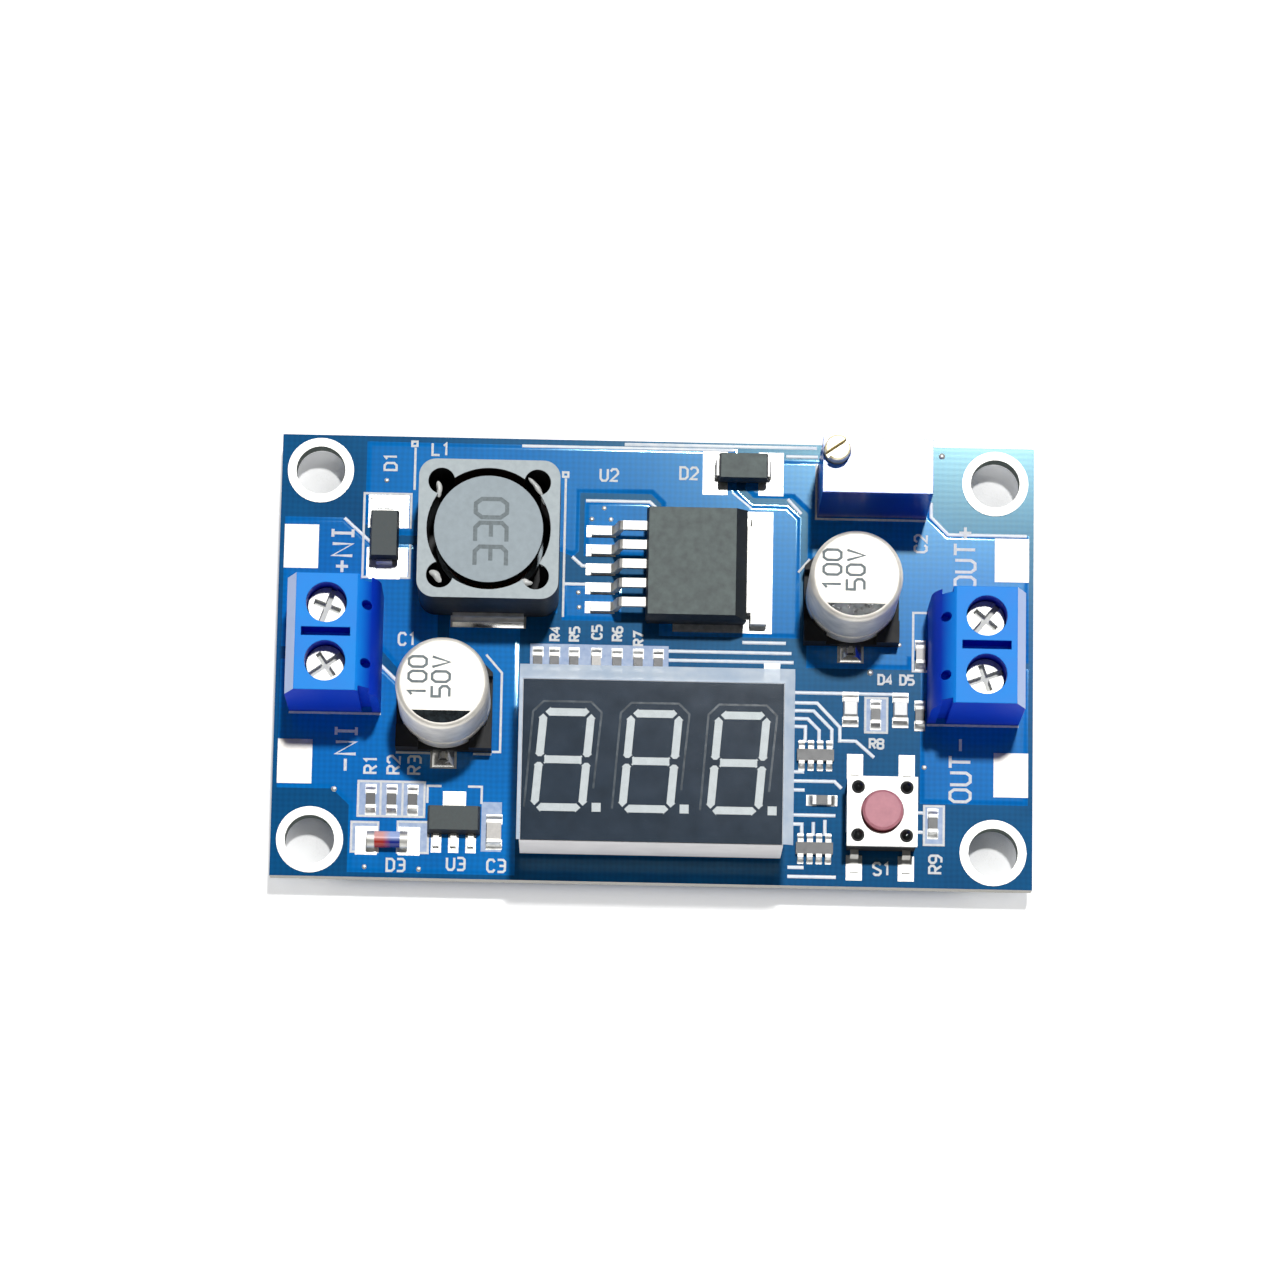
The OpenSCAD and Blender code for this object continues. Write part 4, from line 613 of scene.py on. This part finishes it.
# near-white ridges along pour edges: painted highlights
paintedEdgeHighlights = [
    [(-27.4, 12.15), (-24.9, 9.9)], [(-24.2, -0.6), (-22.3, -2.4)],
    [(-6.3, 14.15), (-0.7, 14.15), (-0.1, 13.6)], [(-7.4, 9.1), (-6.5, 8.3), (-5.6, 8.3)],
    [(-8.2, 6.65), (-5.4, 6.65)], [(6.5, 15.15), (8.2, 13.75)], [(11.4, 14.65), (12.6, 13.35)],
    [(-12.0, 18.95), (6.6, 18.95)], [(24.0, 14.6), (24.0, 13.3), (25.5, 11.75), (32.4, 11.75)],
]
# pale strip at the back edge: a painted sheen
paintedBackSheen = dict(corners=[(-3.0, 19.15), (13.9, 19.15), (13.9, 19.45), (-3.0, 19.45)], inset=0.05, rise=0.02)
# a track's section is a low arch: across as the cosine, up as a power of the sine
crown = [(copper["trackWidth"] / 2 * np.cos(turn), copper["rise"] * np.sin(turn) ** copper["crown"])
         for turn in np.linspace(np.pi, 0, copper["crownSteps"])]
copperLines = [ridge(path, crown, boardTop + hair) for path in tracks + paintedEdgeHighlights]
copperLines.append(sheet(paintedBackSheen["corners"], [(0, 0), (paintedBackSheen["inset"], paintedBackSheen["rise"])], boardTop))
makePiece("tracks_and_painted_highlights", copperLines, "highlightPaintedMask", smooth=True)

vias = dict(radius=0.28, rise=0.06, places=[
    (-4.68, 13.5), (-5.75, 12.5), (-4.08, 12.5), (-6.8, 5.9), (-6.7, 4.6), (24.9, 18.8), (-23.8, 15.6),
    (18.8, -0.7), (20.45, 2.7), (21.3, 1.8), (23.6, -9.0), (-27.6, -11.9), (-24.8, -18.7), (-20.1, -18.8),
])
caps = [dome((x, y, boardTop), [vias["radius"]] * 2, vias["rise"] + copper["rise"])
        for x, y in vias["places"]]
makePiece("via_caps", caps + [below(cap) for cap in caps], "solderAlloy", smooth=True)


# Printed legend: pen strokes of a plain lettering, drawn on a grid of so many steps
letterWidth, letterHeight = 12, 20
strokes = {
    "0": [[(0, 4), (0, 16), (3, 20), (9, 20), (12, 16), (12, 4), (9, 0), (3, 0), (0, 4)]],
    "1": [[(2, 16), (6, 20), (6, 0)]],
    "2": [[(0, 16), (3, 20), (9, 20), (12, 16), (12, 12), (0, 0), (12, 0)]],
    "3": [[(0, 20), (9, 20), (12, 17), (12, 3), (9, 0), (0, 0)], [(3, 10), (12, 10)]],
    "4": [[(9, 0), (9, 20), (0, 6), (12, 6)]],
    "5": [[(12, 20), (0, 20), (0, 11), (9, 11), (12, 8), (12, 3), (9, 0), (0, 0)]],
    "6": [[(11, 20), (4, 20), (0, 14), (0, 3), (3, 0), (9, 0), (12, 3), (12, 8), (9, 11), (0, 11)]],
    "7": [[(0, 20), (12, 20), (4, 0)]],
    "8": [[(2, 11), (0, 14), (0, 18), (3, 20), (9, 20), (12, 18), (12, 14), (10, 11), (2, 11), (0, 8),
          (0, 2), (3, 0), (9, 0), (12, 2), (12, 8), (10, 11)]],
    "9": [[(1, 0), (8, 0), (12, 6), (12, 17), (9, 20), (3, 20), (0, 17), (0, 12), (3, 9), (12, 9)]],
    "C": [[(12, 16), (9, 20), (3, 20), (0, 16), (0, 4), (3, 0), (9, 0), (12, 4)]],
    "D": [[(0, 0), (0, 20), (8, 20), (12, 16), (12, 4), (8, 0), (0, 0)]],
    "I": [[(6, 0), (6, 20)], [(2, 20), (10, 20)], [(2, 0), (10, 0)]],
    "L": [[(0, 20), (0, 0), (12, 0)]],
    "N": [[(0, 0), (0, 20), (12, 0), (12, 20)]],
    "R": [[(0, 0), (0, 20), (9, 20), (12, 17), (12, 13), (9, 10), (0, 10)], [(5, 10), (12, 0)]],
    "S": [[(12, 17), (9, 20), (3, 20), (0, 17), (0, 13), (12, 7), (12, 3), (9, 0), (3, 0), (0, 3)]],
    "T": [[(0, 20), (12, 20)], [(6, 20), (6, 0)]],
    "U": [[(0, 20), (0, 4), (3, 0), (9, 0), (12, 4), (12, 20)]],
    "V": [[(0, 20), (6, 0), (12, 20)]],
    "+": [[(6, 4), (6, 16)], [(0, 10), (12, 10)]],
    "-": [[(0, 10), (12, 10)]],
}
strokes["O"] = strokes["0"]


def lettering(text, centre, height, turn, spread=0.85):
    # pen paths of a word about its centre, turned by so many degrees
    angle, step = np.radians(turn), spread * height
    across = step * (len(text) - 1) + letterWidth / letterHeight * height
    spin = np.array([[np.cos(angle), np.sin(angle)], [-np.sin(angle), np.cos(angle)]])
    return [(np.array(line) / letterHeight * height + (k * step - across / 2, -height / 2)) @ spin + centre
            for k, letter in enumerate(text) for line in strokes[letter]]


def inked(paths, width, thick, base):
    # flat pen lines with square edges; every second one is a hair lower, for where two cross
    pens = [[(-width / 2, 0), (-width / 2, top), (width / 2, top), (width / 2, 0)]
            for top in (thick, lowPen * thick)]
    return [ridge(path, pens[k % 2], base) for k, path in enumerate(paths)]


def framed(x0, y0, x1, y1):
    return [(x0, y0), (x1, y0), (x1, y1), (x0, y1), (x0, y0)]


legend = dict(line=0.2, bold=0.26, thick=0.068, poleHeight=1.75, markHeight=1.05, smallHeight=0.8,
              aside=0.16, baseLeft=3.0, baseRight=1.6, washEdge=0.03, washShare=0.85)
poleMarks = [
    ("IN+", (-27.5, 9.3), -90), ("IN-", (-26.7, -8.3), -90), ("OUT+", (27.0, 9.7), 90),
    ("OUT-", (26.7, -9.2), 90),
]
marks = [
    ("D1", (-23.5, 17.3), 90), ("L1", (-19.1, 18.5), 0), ("U2", (-4.3, 16.5), 0), ("D2", (2.7, 16.8), 0),
    ("C1", (-21.6, 1.45), 0), ("C2", (23.1, 10.9), 90), ("R1", (-24.5, -9.7), 90),
    ("R2", (-22.5, -9.7), 90), ("R3", (-20.7, -9.7), 90), ("D3", (-22.1, -18.5), 0),
    ("U3", (-16.9, -18.3), 0), ("C3", (-13.4, -18.4), 0), ("S1", (20.0, -18.0), 0),
    ("R9", (24.6, -17.5), 90),
]
smallMarks = [
    ("R4", (-8.75, 2.2), 90), ("R5", (-7.05, 2.2), 90), ("C5", (-5.1, 2.4), 90), ("R6", (-3.3, 2.3), 90),
    ("R7", (-1.45, 1.9), 90), ("D4", (20.1, -1.3), 0), ("D5", (22.0, -1.3), 0), ("R8", (19.4, -7.0), 0),
]
legendLines = [
    [(-21.6, 9.9), (-21.6, 6.9), (-25.7, 6.9), (-25.7, 14.4), (-21.6, 14.4), (-21.6, 11.3)],
    framed(-21.65, 18.75, -21.2, 19.15), [(-21.35, 18.6), (-21.35, 14.8)],
    framed(-8.35, 16.25, -7.9, 16.65), [(-8.1, 16.1), (-8.1, 3.7)],
    [(-14.7, 0.2), (-13.3, -1.4), (-13.3, -8.4), (-14.0, -8.4)],
    [(12.4, 8.1), (13.4, 9.3)], [(24.2, 4.7), (22.5, 4.7), (22.5, -0.5), (24.2, -0.5)],
    framed(-25.5, -14.25, -23.55, -11.2), framed(-23.55, -14.25, -21.65, -11.2),
    framed(-21.65, -14.25, -19.75, -11.2), framed(-26.0, -17.4, -23.7, -14.8),
    framed(-22.0, -17.4, -19.35, -14.7),
    [(-19.5, -13.0), (-19.5, -11.5), (-18.3, -11.5)], [(-16.0, -11.5), (-14.8, -11.5), (-14.8, -13.0)],
    framed(23.6, -15.8, 25.3, -12.4), framed(18.4, -6.0, 20.3, -2.95),
]
# outlines round the trimmer, the terminals' fronts and the input capacitor's base
low, high = nodeBox("trimmer_body")
x, y = low[:2] - legend["aside"]
legendLines.append([(x, high[1]), (x, y), (high[0], y)])
for name in ("in_terminal_housing", "out_terminal_housing"):
    low, high = nodeBox(name)
    y = low[1] - legend["aside"]
    legendLines.append([(low[0], y), (high[0], y)])
low, high = nodeBox("input_capacitor_base")
y = low[1] - legend["aside"]
legendLines += [[(low[0], y), (low[0] + legend["baseLeft"], y)],
                [(high[0] - legend["baseRight"], y), (high[0], y)]]
legendInk = inked(legendLines, legend["line"], legend["thick"], boardTop)
for some, size, pen in ((poleMarks, "poleHeight", "bold"), (marks, "markHeight", "line"),
                        (smallMarks, "smallHeight", "line")):
    for text, centre, turn in some:
        words = lettering(text, centre, legend[size], turn)
        legendInk += inked(words, legend[pen], legend["thick"], boardTop)
makePiece("board_print", legendInk, "whiteInk")

washes = [
    (-25.5, -14.25, -19.75, -11.2), (-26.0, -17.4, -23.7, -14.8), (-22.0, -17.4, -19.35, -14.7),
    (18.4, -6.0, 20.3, -2.95), (23.6, -15.8, 25.3, -12.4), (-14.8, -17.2, -13.0, -12.8),
    (-10.9, -0.6, 1.2, 1.3),
]
thinCoat = [(0, 0), (legend["washEdge"], legend["thick"] * legend["washShare"])]
washInk = [sheet(framed(*wash)[:4], thinCoat, boardTop) for wash in washes]
makePiece("print_wash", washInk, "thinInk")

# Solder on the pads: low pillows, height rise * (1 - u^4)(1 - v^4); two wide lands of the input
# diode and one behind the display are solder only
pillow = dict(inset=0.03, lift=0.01, share=0.03, most=0.03, across=6,
              lands=[(-25.35, 11.3, -21.75, 14.3), (-25.4, 6.95, -21.75, 9.6), (9.5, -1.65, 10.95, -0.05)])
u, v = np.meshgrid(*[np.linspace(-1, 1, pillow["across"])] * 2, indexing="ij")
pads = islands("solder_pads")
lands = [(np.array([x0, y0, boardTop]), np.array([x1, y1, seat])) for x0, y0, x1, y1 in pillow["lands"]]
pillows = []
for low, high in pads + lands:
    side = (high - low)[:2] / 2 - pillow["inset"]
    rise = min(pillow["most"], pillow["share"] * 2 * side.min())
    centre = (low + high) / 2
    crest = np.stack([centre[0] + u * side[0], centre[1] + v * side[1],
                      high[2] + pillow["lift"] + rise * (1 - u ** 4) * (1 - v ** 4)], -1)
    pillows.append(slab(crest, flattened(crest, low[2] + hair)))
makePiece("pad_solder", pillows, "solderAlloy", smooth=True)

# Solder climbing the chip ends: height falls off outwards as (1 - s) squared, and a little
# towards the corners as 1 - droop * t^4
fillet = dict(climb=0.6, reach=0.85, steps=5, least=0.1, flare=0.15, droop=0.3, lift=0.02)
s, t = np.meshgrid(np.linspace(0, 1, fillet["steps"]), np.linspace(-1, 1, fillet["steps"]), indexing="ij")
fillets = []
for low, high in islands("chip_ends"):
    middle = (low + high) / 2
    for padLow, padHigh in pads:
        inside = np.all(middle[:2] > padLow[:2]) and np.all(middle[:2] < padHigh[:2])
        beyond = np.concatenate([padHigh[:2] - high[:2], low[:2] - padLow[:2]])
        run = beyond.max() * fillet["reach"]
        if not inside or run < fillet["least"]:
            continue
        axis, outward = int(beyond.argmax()) % 2, 1 if beyond.argmax() < 2 else -1
        end = high[axis] if outward > 0 else low[axis]
        width = (high - low)[1 - axis] / 2
        climb = (high[2] - seat) * fillet["climb"]
        skin = np.empty(s.shape + (3,))
        skin[..., axis] = end + outward * (s * run - hair)
        skin[..., 1 - axis] = middle[1 - axis] + t * width * (1 + fillet["flare"] * s)
        skin[..., 2] = seat + climb * (1 - s) ** 2 * (1 - fillet["droop"] * t ** 4) + fillet["lift"]
        if (axis == 0) == (outward < 0):
            skin = skin[:, ::-1]
        fillets.append(slab(skin, flattened(skin, seat - hair)))
makePiece("chip_solder", fillets, "solderAlloy", smooth=True)

# Solder round the capacitors' leads and along the inductor's clips: a straight flank outside, a
# rounded crest at the metal's edge, and a lap over the metal inside
collar = dict(flank=0.93, lap=0.28, lapTop=0.27, heel=0.05, round=0.04, spread=0.52, clipSpread=0.38)
collars = []
for part, carrier in (("input_capacitor_leads", "input_capacitor_base"),
                      ("output_capacitor_leads", "output_capacitor_base"),
                      ("inductor_clips", "inductor_base")):
    wraps = part != "inductor_clips"
    foot = collar["spread"] if wraps else collar["clipSpread"]
    crest, bend = collar["flank"] * foot, collar["round"]
    section = [(-foot, 0), (-bend, crest - bend), (bend, crest), (collar["lap"], collar["lapTop"]),
               (collar["lap"], collar["heel"])]
    front, rear = (corner[1] for corner in nodeBox(carrier))
    for low, high in islands(part):
        x0, x1, tip, root = low[0], high[0], low[1], front
        if low[1] >= front:
            x0, x1, tip, root = high[0], low[0], high[1], rear
        path = [(x0, root), (x0, tip), (x1, tip), (x1, root)]
        collars.append(ridge(path if wraps else path[1:3], section, seat))
makePiece("lead_solder", collars, "brightSolder", smooth=True)

# Print on the capacitors: a dark segment for the negative side, and plain values read upwards
canPrint = dict(inset=0.5, chord=0.6, steps=25, rim=0.02, thick=0.012, line=0.24, height=1.5, lift=0.5,
                columns=[("100", -2.1), ("50V", -0.1)])
segments, values = [], []
for name in ("input_capacitor_can", "output_capacitor_can"):
    low, high = nodeBox(name)
    centre, radius = (low + high) / 2, (high[0] - low[0]) / 2
    reach = radius - canPrint["inset"]
    opening = np.arccos(canPrint["chord"] * radius / reach)
    angle = np.linspace(-np.pi / 2 - opening, -np.pi / 2 + opening, canPrint["steps"])
    ring = centre[:2] + reach * np.stack([np.cos(angle), np.sin(angle)], 1)
    segments.append(sheet(ring, [(0, 0), (canPrint["rim"], canPrint["thick"])], high[2]))
    for text, aside in canPrint["columns"]:
        words = lettering(text, (centre[0] + aside, centre[1] + canPrint["lift"]), canPrint["height"], 90)
        values += inked(words, canPrint["line"], canPrint["thick"], high[2])
makePiece("can_polarity", segments, "blackInk")
makePiece("can_values", values, "greyInk")

# Value on the inductor's core, read upwards
coreMark = dict(text="330", height=2.7, spread=0.78, line=0.36, thick=0.012, aside=0.2, down=0.28)
low, high = nodeBox("inductor_core")
middle = (low + high) / 2
words = lettering(coreMark["text"], (middle[0] + coreMark["aside"], middle[1] - coreMark["down"]),
                  coreMark["height"], 90, coreMark["spread"])
coreInk = inked(words, coreMark["line"], coreMark["thick"], high[2])
makePiece("inductor_value", coreInk, "greyInk")

# Glue in the corners of its shield: smears at (x, y) with length, width and turn
glue = dict(rise=0.3, sink=0.42, wander=0.22, around=16,
            smears=[(-4.35, 3.5, 0.3, 0.6, 5), (-4.45, -4.15, 0.6, 0.38, -35), (4.0, 3.9, 0.8, 0.26, -48),
                    (4.75, 2.6, 0.5, 0.22, -62), (4.8, -2.7, 0.5, 0.3, 50), (3.3, -4.6, 0.55, 0.3, 10)])
low, high = nodeBox("inductor_shield")
middle = (low + high) / 2
beads = [dome((middle[0] + x, middle[1] + y, high[2] - glue["sink"]), (length, width), glue["rise"],
              glue["around"], turn, glue["wander"]) for x, y, length, width, turn in glue["smears"]]
makePiece("inductor_glue", beads, "whiteGlue", smooth=True)

# Heat-staked studs that hold the switch's cover: domes on the base's four pegs
studs = dict(reach=2.1, radius=0.42, rise=0.17, around=16)
low, high = nodeBox("switch_base")
middle = (low + high) / 2
heads = [dome((middle[0] + across * studs["reach"], middle[1] + along * studs["reach"], high[2]),
              [studs["radius"]] * 2, studs["rise"], studs["around"])
         for across in (-1, 1) for along in (-1, 1)]
makePiece("switch_studs", heads, "glossyNylon", smooth=True)

# Moulded lines that show through the display's face: up, over and down each digit, which leans
faceLines = dict(width=0.18, thick=0.008, away=0.5, corner=0.9, lean=0.6, stop=2.6, bar=1.2)
low, high = nodeBox("display_face")
bars = [box for box in islands("display_segments") if np.ptp(box, axis=0)[:2].max() > faceLines["bar"]]
left, right = min(bar[0][0] for bar in bars), max(bar[1][0] for bar in bars)
thirds = [int(((bar[0][0] + bar[1][0]) / 2 - left) / (right - left) * 3) for bar in bars]
digits = [[bar for bar, third in zip(bars, thirds) if third == place] for place in range(3)]
lean, cut, stop = faceLines["lean"], faceLines["corner"], faceLines["stop"]
outlines = []
for digit in digits:
    x0, y0 = np.min([bar[0][:2] for bar in digit], axis=0) - faceLines["away"]
    x1, y1 = np.max([bar[1][:2] for bar in digit], axis=0) + faceLines["away"]
    outlines.append([(x0, y0 + cut), (x0 + lean, y1 - cut), (x0 + lean + cut, y1), (x1 - cut, y1),
                     (x1, y1 - cut), (x1 - lean, y0 + stop)])
moulded = inked(outlines, faceLines["width"], faceLines["thick"], high[2])
makePiece("face_lines", moulded, "faintLine")

# Dark webs between the segments: a block at each end of the middle bar and a stroke across each
# corner; the face also laps the long sides of each segment and all sides of the points
webs = dict(block=(0.66, 0.5), stroke=0.24, start=0.12, run=0.62, thick=0.008, lap=0.09, long=0.6)
segmentTop = max(high[2], nodeBox("display_segments")[1][2])
webParts = []
for digit in digits:
    wide = [bar for bar in digit if np.ptp(bar, axis=0)[0] > np.ptp(bar, axis=0)[1]]
    tall = [bar for bar in digit if np.ptp(bar, axis=0)[0] < np.ptp(bar, axis=0)[1]]
    bottomBar, centreBar, topBar = sorted(wide, key=lambda bar: bar[0][1])
    barWidth = topBar[1][1] - topBar[0][1]
    waist = (centreBar[0][1] + centreBar[1][1]) / 2
    across = webs["block"][0] / 2
    for x in (centreBar[0][0], centreBar[1][0]):
        webParts += inked([[(x - across, waist), (x + across, waist)]], webs["block"][1], webs["thick"],
                          segmentTop)
    for level, up, end in ((topBar[0][1], 1, 1), (bottomBar[1][1], -1, 0)):
        posts = [bar for bar in tall if ((bar[0][1] + bar[1][1]) / 2 > waist) == (up > 0)]
        for hand, post in zip((-1, 1), sorted(posts, key=lambda bar: bar[0][0])):
            corner = np.array([post[end][0] - (hand + up) / 2 * barWidth, level])
            outward = np.array([hand, up])
            webParts += inked([[corner - webs["start"] * outward, corner + webs["run"] * outward]],
                              webs["stroke"], webs["thick"], segmentTop)
sides = []
for points in solidPoints("display_segments"):
    plan = np.unique(np.round(points[:, :2], 3), axis=0)
    away = plan - plan.mean(axis=0)
    ring = plan[np.argsort(np.arctan2(away[:, 1], away[:, 0]))]
    ahead = np.roll(ring, -1, axis=0)
    length = np.linalg.norm(ahead - ring, axis=1)
    sides += [[ring[k], ahead[k]] for k in np.flatnonzero(length > webs["long"] * length.max())]
webParts += inked(sides, 2 * webs["lap"], webs["thick"], segmentTop)
makePiece("segment_webs", webParts, "slateFilm")

# Clear protective film laid on the display: it stands over the edges and sags there as
# sag * overhang squared, and where nothing backs it a painted sheen makes it cloudy white
film = dict(left=0.35, right=0.95, front=0.0, back=1.45, thick=0.03, gap=0.02, sag=0.35, steps=(40, 28))
x = np.linspace(low[0] - film["left"], high[0] + film["right"], film["steps"][0])
y = np.linspace(low[1] - film["front"], high[1] + film["back"], film["steps"][1])
x, y = np.meshgrid(x, y, indexing="ij")
over = np.maximum(np.maximum(low[0] - x, x - high[0]), np.maximum(low[1] - y, y - high[1])).clip(0)
skin = np.stack([x, y, high[2] + film["gap"] + film["thick"] - film["sag"] * over ** 2], -1)
makePiece("display_film", [slab(skin, skin - (0, 0, film["thick"]))], "sheenPaintedFilm", smooth=True)
print("pieces made")


# Floor, lamps, sky and camera: metres and watts, but the paper's fibres and the camera in mm
studio = dict(floorHalf=3.0, paper=("#EDEDEC", "#F2F2F1"), fibre=2.5, floorRough=0.9, floorGlow=0.55,
              hush=0.012, open=(0.38, 0.6), keyWay=(0.088, 0.318, 1.0), keyRange=2.0, keySide=0.11,
              keyPower=30.0, cardPlace=(0.0, -1.2, 0.35), cardSize=(1.0, 0.4), cardPower=2.2,
              horizon=1.15, ceiling=0.06, haze=(0.05, 0.42))
camera = dict(place=(-4.5417, -92.298, 467.855), right=(0.99976787, 0.0187204, 0.01066525),
              down=(0.02045973, -0.98006206, -0.1976354), forward=(0.0067528, 0.19780774, -0.98021758),
              lens=153.33, sensor=36.0)

half, drop = studio["floorHalf"], cadBounds[0][2]
floorMesh = bpy.data.meshes.new("floor")
floorCorners = [(-half, -half, drop), (half, -half, drop), (half, half, drop), (-half, half, drop)]
floorMesh.from_pydata(floorCorners, [], [(0, 1, 2, 3)])
floor = bpy.data.objects.new("floor", floorMesh)
bpy.context.scene.collection.objects.link(floor)
# Paper: white, faintly mottled by its fibres
paper, tree, shader, place = newMaterial("whitePaper")
fibres = addNode(tree, "TexNoise", {"Scale": 1 / (studio["fibre"] * mm), "Detail": 4.0},
                 {"Vector": place["Object"]})
tone = addNode(tree, "ValToRGB", links={"Fac": fibres}, stops=zip(toneSpan, studio["paper"]))
shader.inputs["Roughness"].default_value = studio["floorRough"]
shader.inputs["Emission Color"].default_value = (*[studio["floorGlow"]] * 3, 1)
seen = addNode(tree, "LightPath").outputs
direct = addNode(tree, "Math", links={0: seen["Is Camera Ray"], 1: seen["Is Glossy Ray"]},
                 operation="MAXIMUM")
through = addNode(tree, "Math", links={0: direct, 1: seen["Is Transmission Ray"]}, operation="MAXIMUM")
# the glow stands for light from all round, so it dies away under the board
clearness = addNode(tree, "AmbientOcclusion", {"Distance": studio["hush"]}, samples=8)
opened = addNode(tree, "MapRange", fromTo(*studio["open"]), {"Value": clearness.outputs["AO"]})
glow = addNode(tree, "Math", links={0: through, 1: opened}, operation="MULTIPLY")
feed(tree, shader, {"Base Color": tone, "Emission Strength": glow})
floorMesh.materials.append(paper)


def areaLamp(name, place, size, power):
    # an oblong lamp that looks at the middle of the board
    data = bpy.data.lights.new(name, "AREA")
    data.shape = "RECTANGLE"
    data.size, data.size_y = size
    data.energy = power
    lamp = bpy.data.objects.new(name, data)
    spot = Vector(place)
    lamp.matrix_world = Matrix.Translation(spot) @ spot.to_track_quat("Z", "Y").to_matrix().to_4x4()
    bpy.context.scene.collection.objects.link(lamp)


keyPlace = Vector(studio["keyWay"]).normalized() * studio["keyRange"]
areaLamp("softBox", keyPlace, [studio["keySide"]] * 2, studio["keyPower"])
areaLamp("whiteCard", studio["cardPlace"], studio["cardSize"], studio["cardPower"])

# white round the horizon, a dimmer ceiling, as in a room with a white table
sky = bpy.data.worlds.new("whiteStudio")
bpy.context.scene.world = sky
sky.use_nodes = True
tree = sky.node_tree
air = tree.nodes["Background"]
seen = addNode(tree, "LightPath").outputs
bearing = addNode(tree, "SeparateXYZ", links={0: addNode(tree, "TexCoord").outputs["Generated"]})
fade = dict(fromTo(*studio["haze"]), **{"To Min": studio["horizon"], "To Max": studio["ceiling"]})
overhead = addNode(tree, "MapRange", fade, {"Value": bearing.outputs["Z"]})
direct = addNode(tree, "Math", links={0: seen["Is Camera Ray"], 1: seen["Is Transmission Ray"]},
                 operation="MAXIMUM")
strength = addNode(tree, "Mix", {3: 1.0}, {0: direct, 2: overhead})
air.inputs["Color"].default_value = (1, 1, 1, 1)
feed(tree, air, {"Strength": strength})

viewData = bpy.data.cameras.new("camera")
viewData.lens = camera["lens"]
viewData.sensor_width = camera["sensor"]
viewPoint = bpy.data.objects.new("camera", viewData)
axes = np.array([camera["right"], np.negative(camera["down"]), np.negative(camera["forward"])]).T
turned = Matrix(axes.tolist()).to_4x4()
viewPoint.matrix_world = Matrix.Translation(Vector(camera["place"]) * mm) @ turned
bpy.context.scene.collection.objects.link(viewPoint)
bpy.context.scene.camera = viewPoint
bpy.context.scene.view_settings.view_transform = "Standard"
print("studio set")
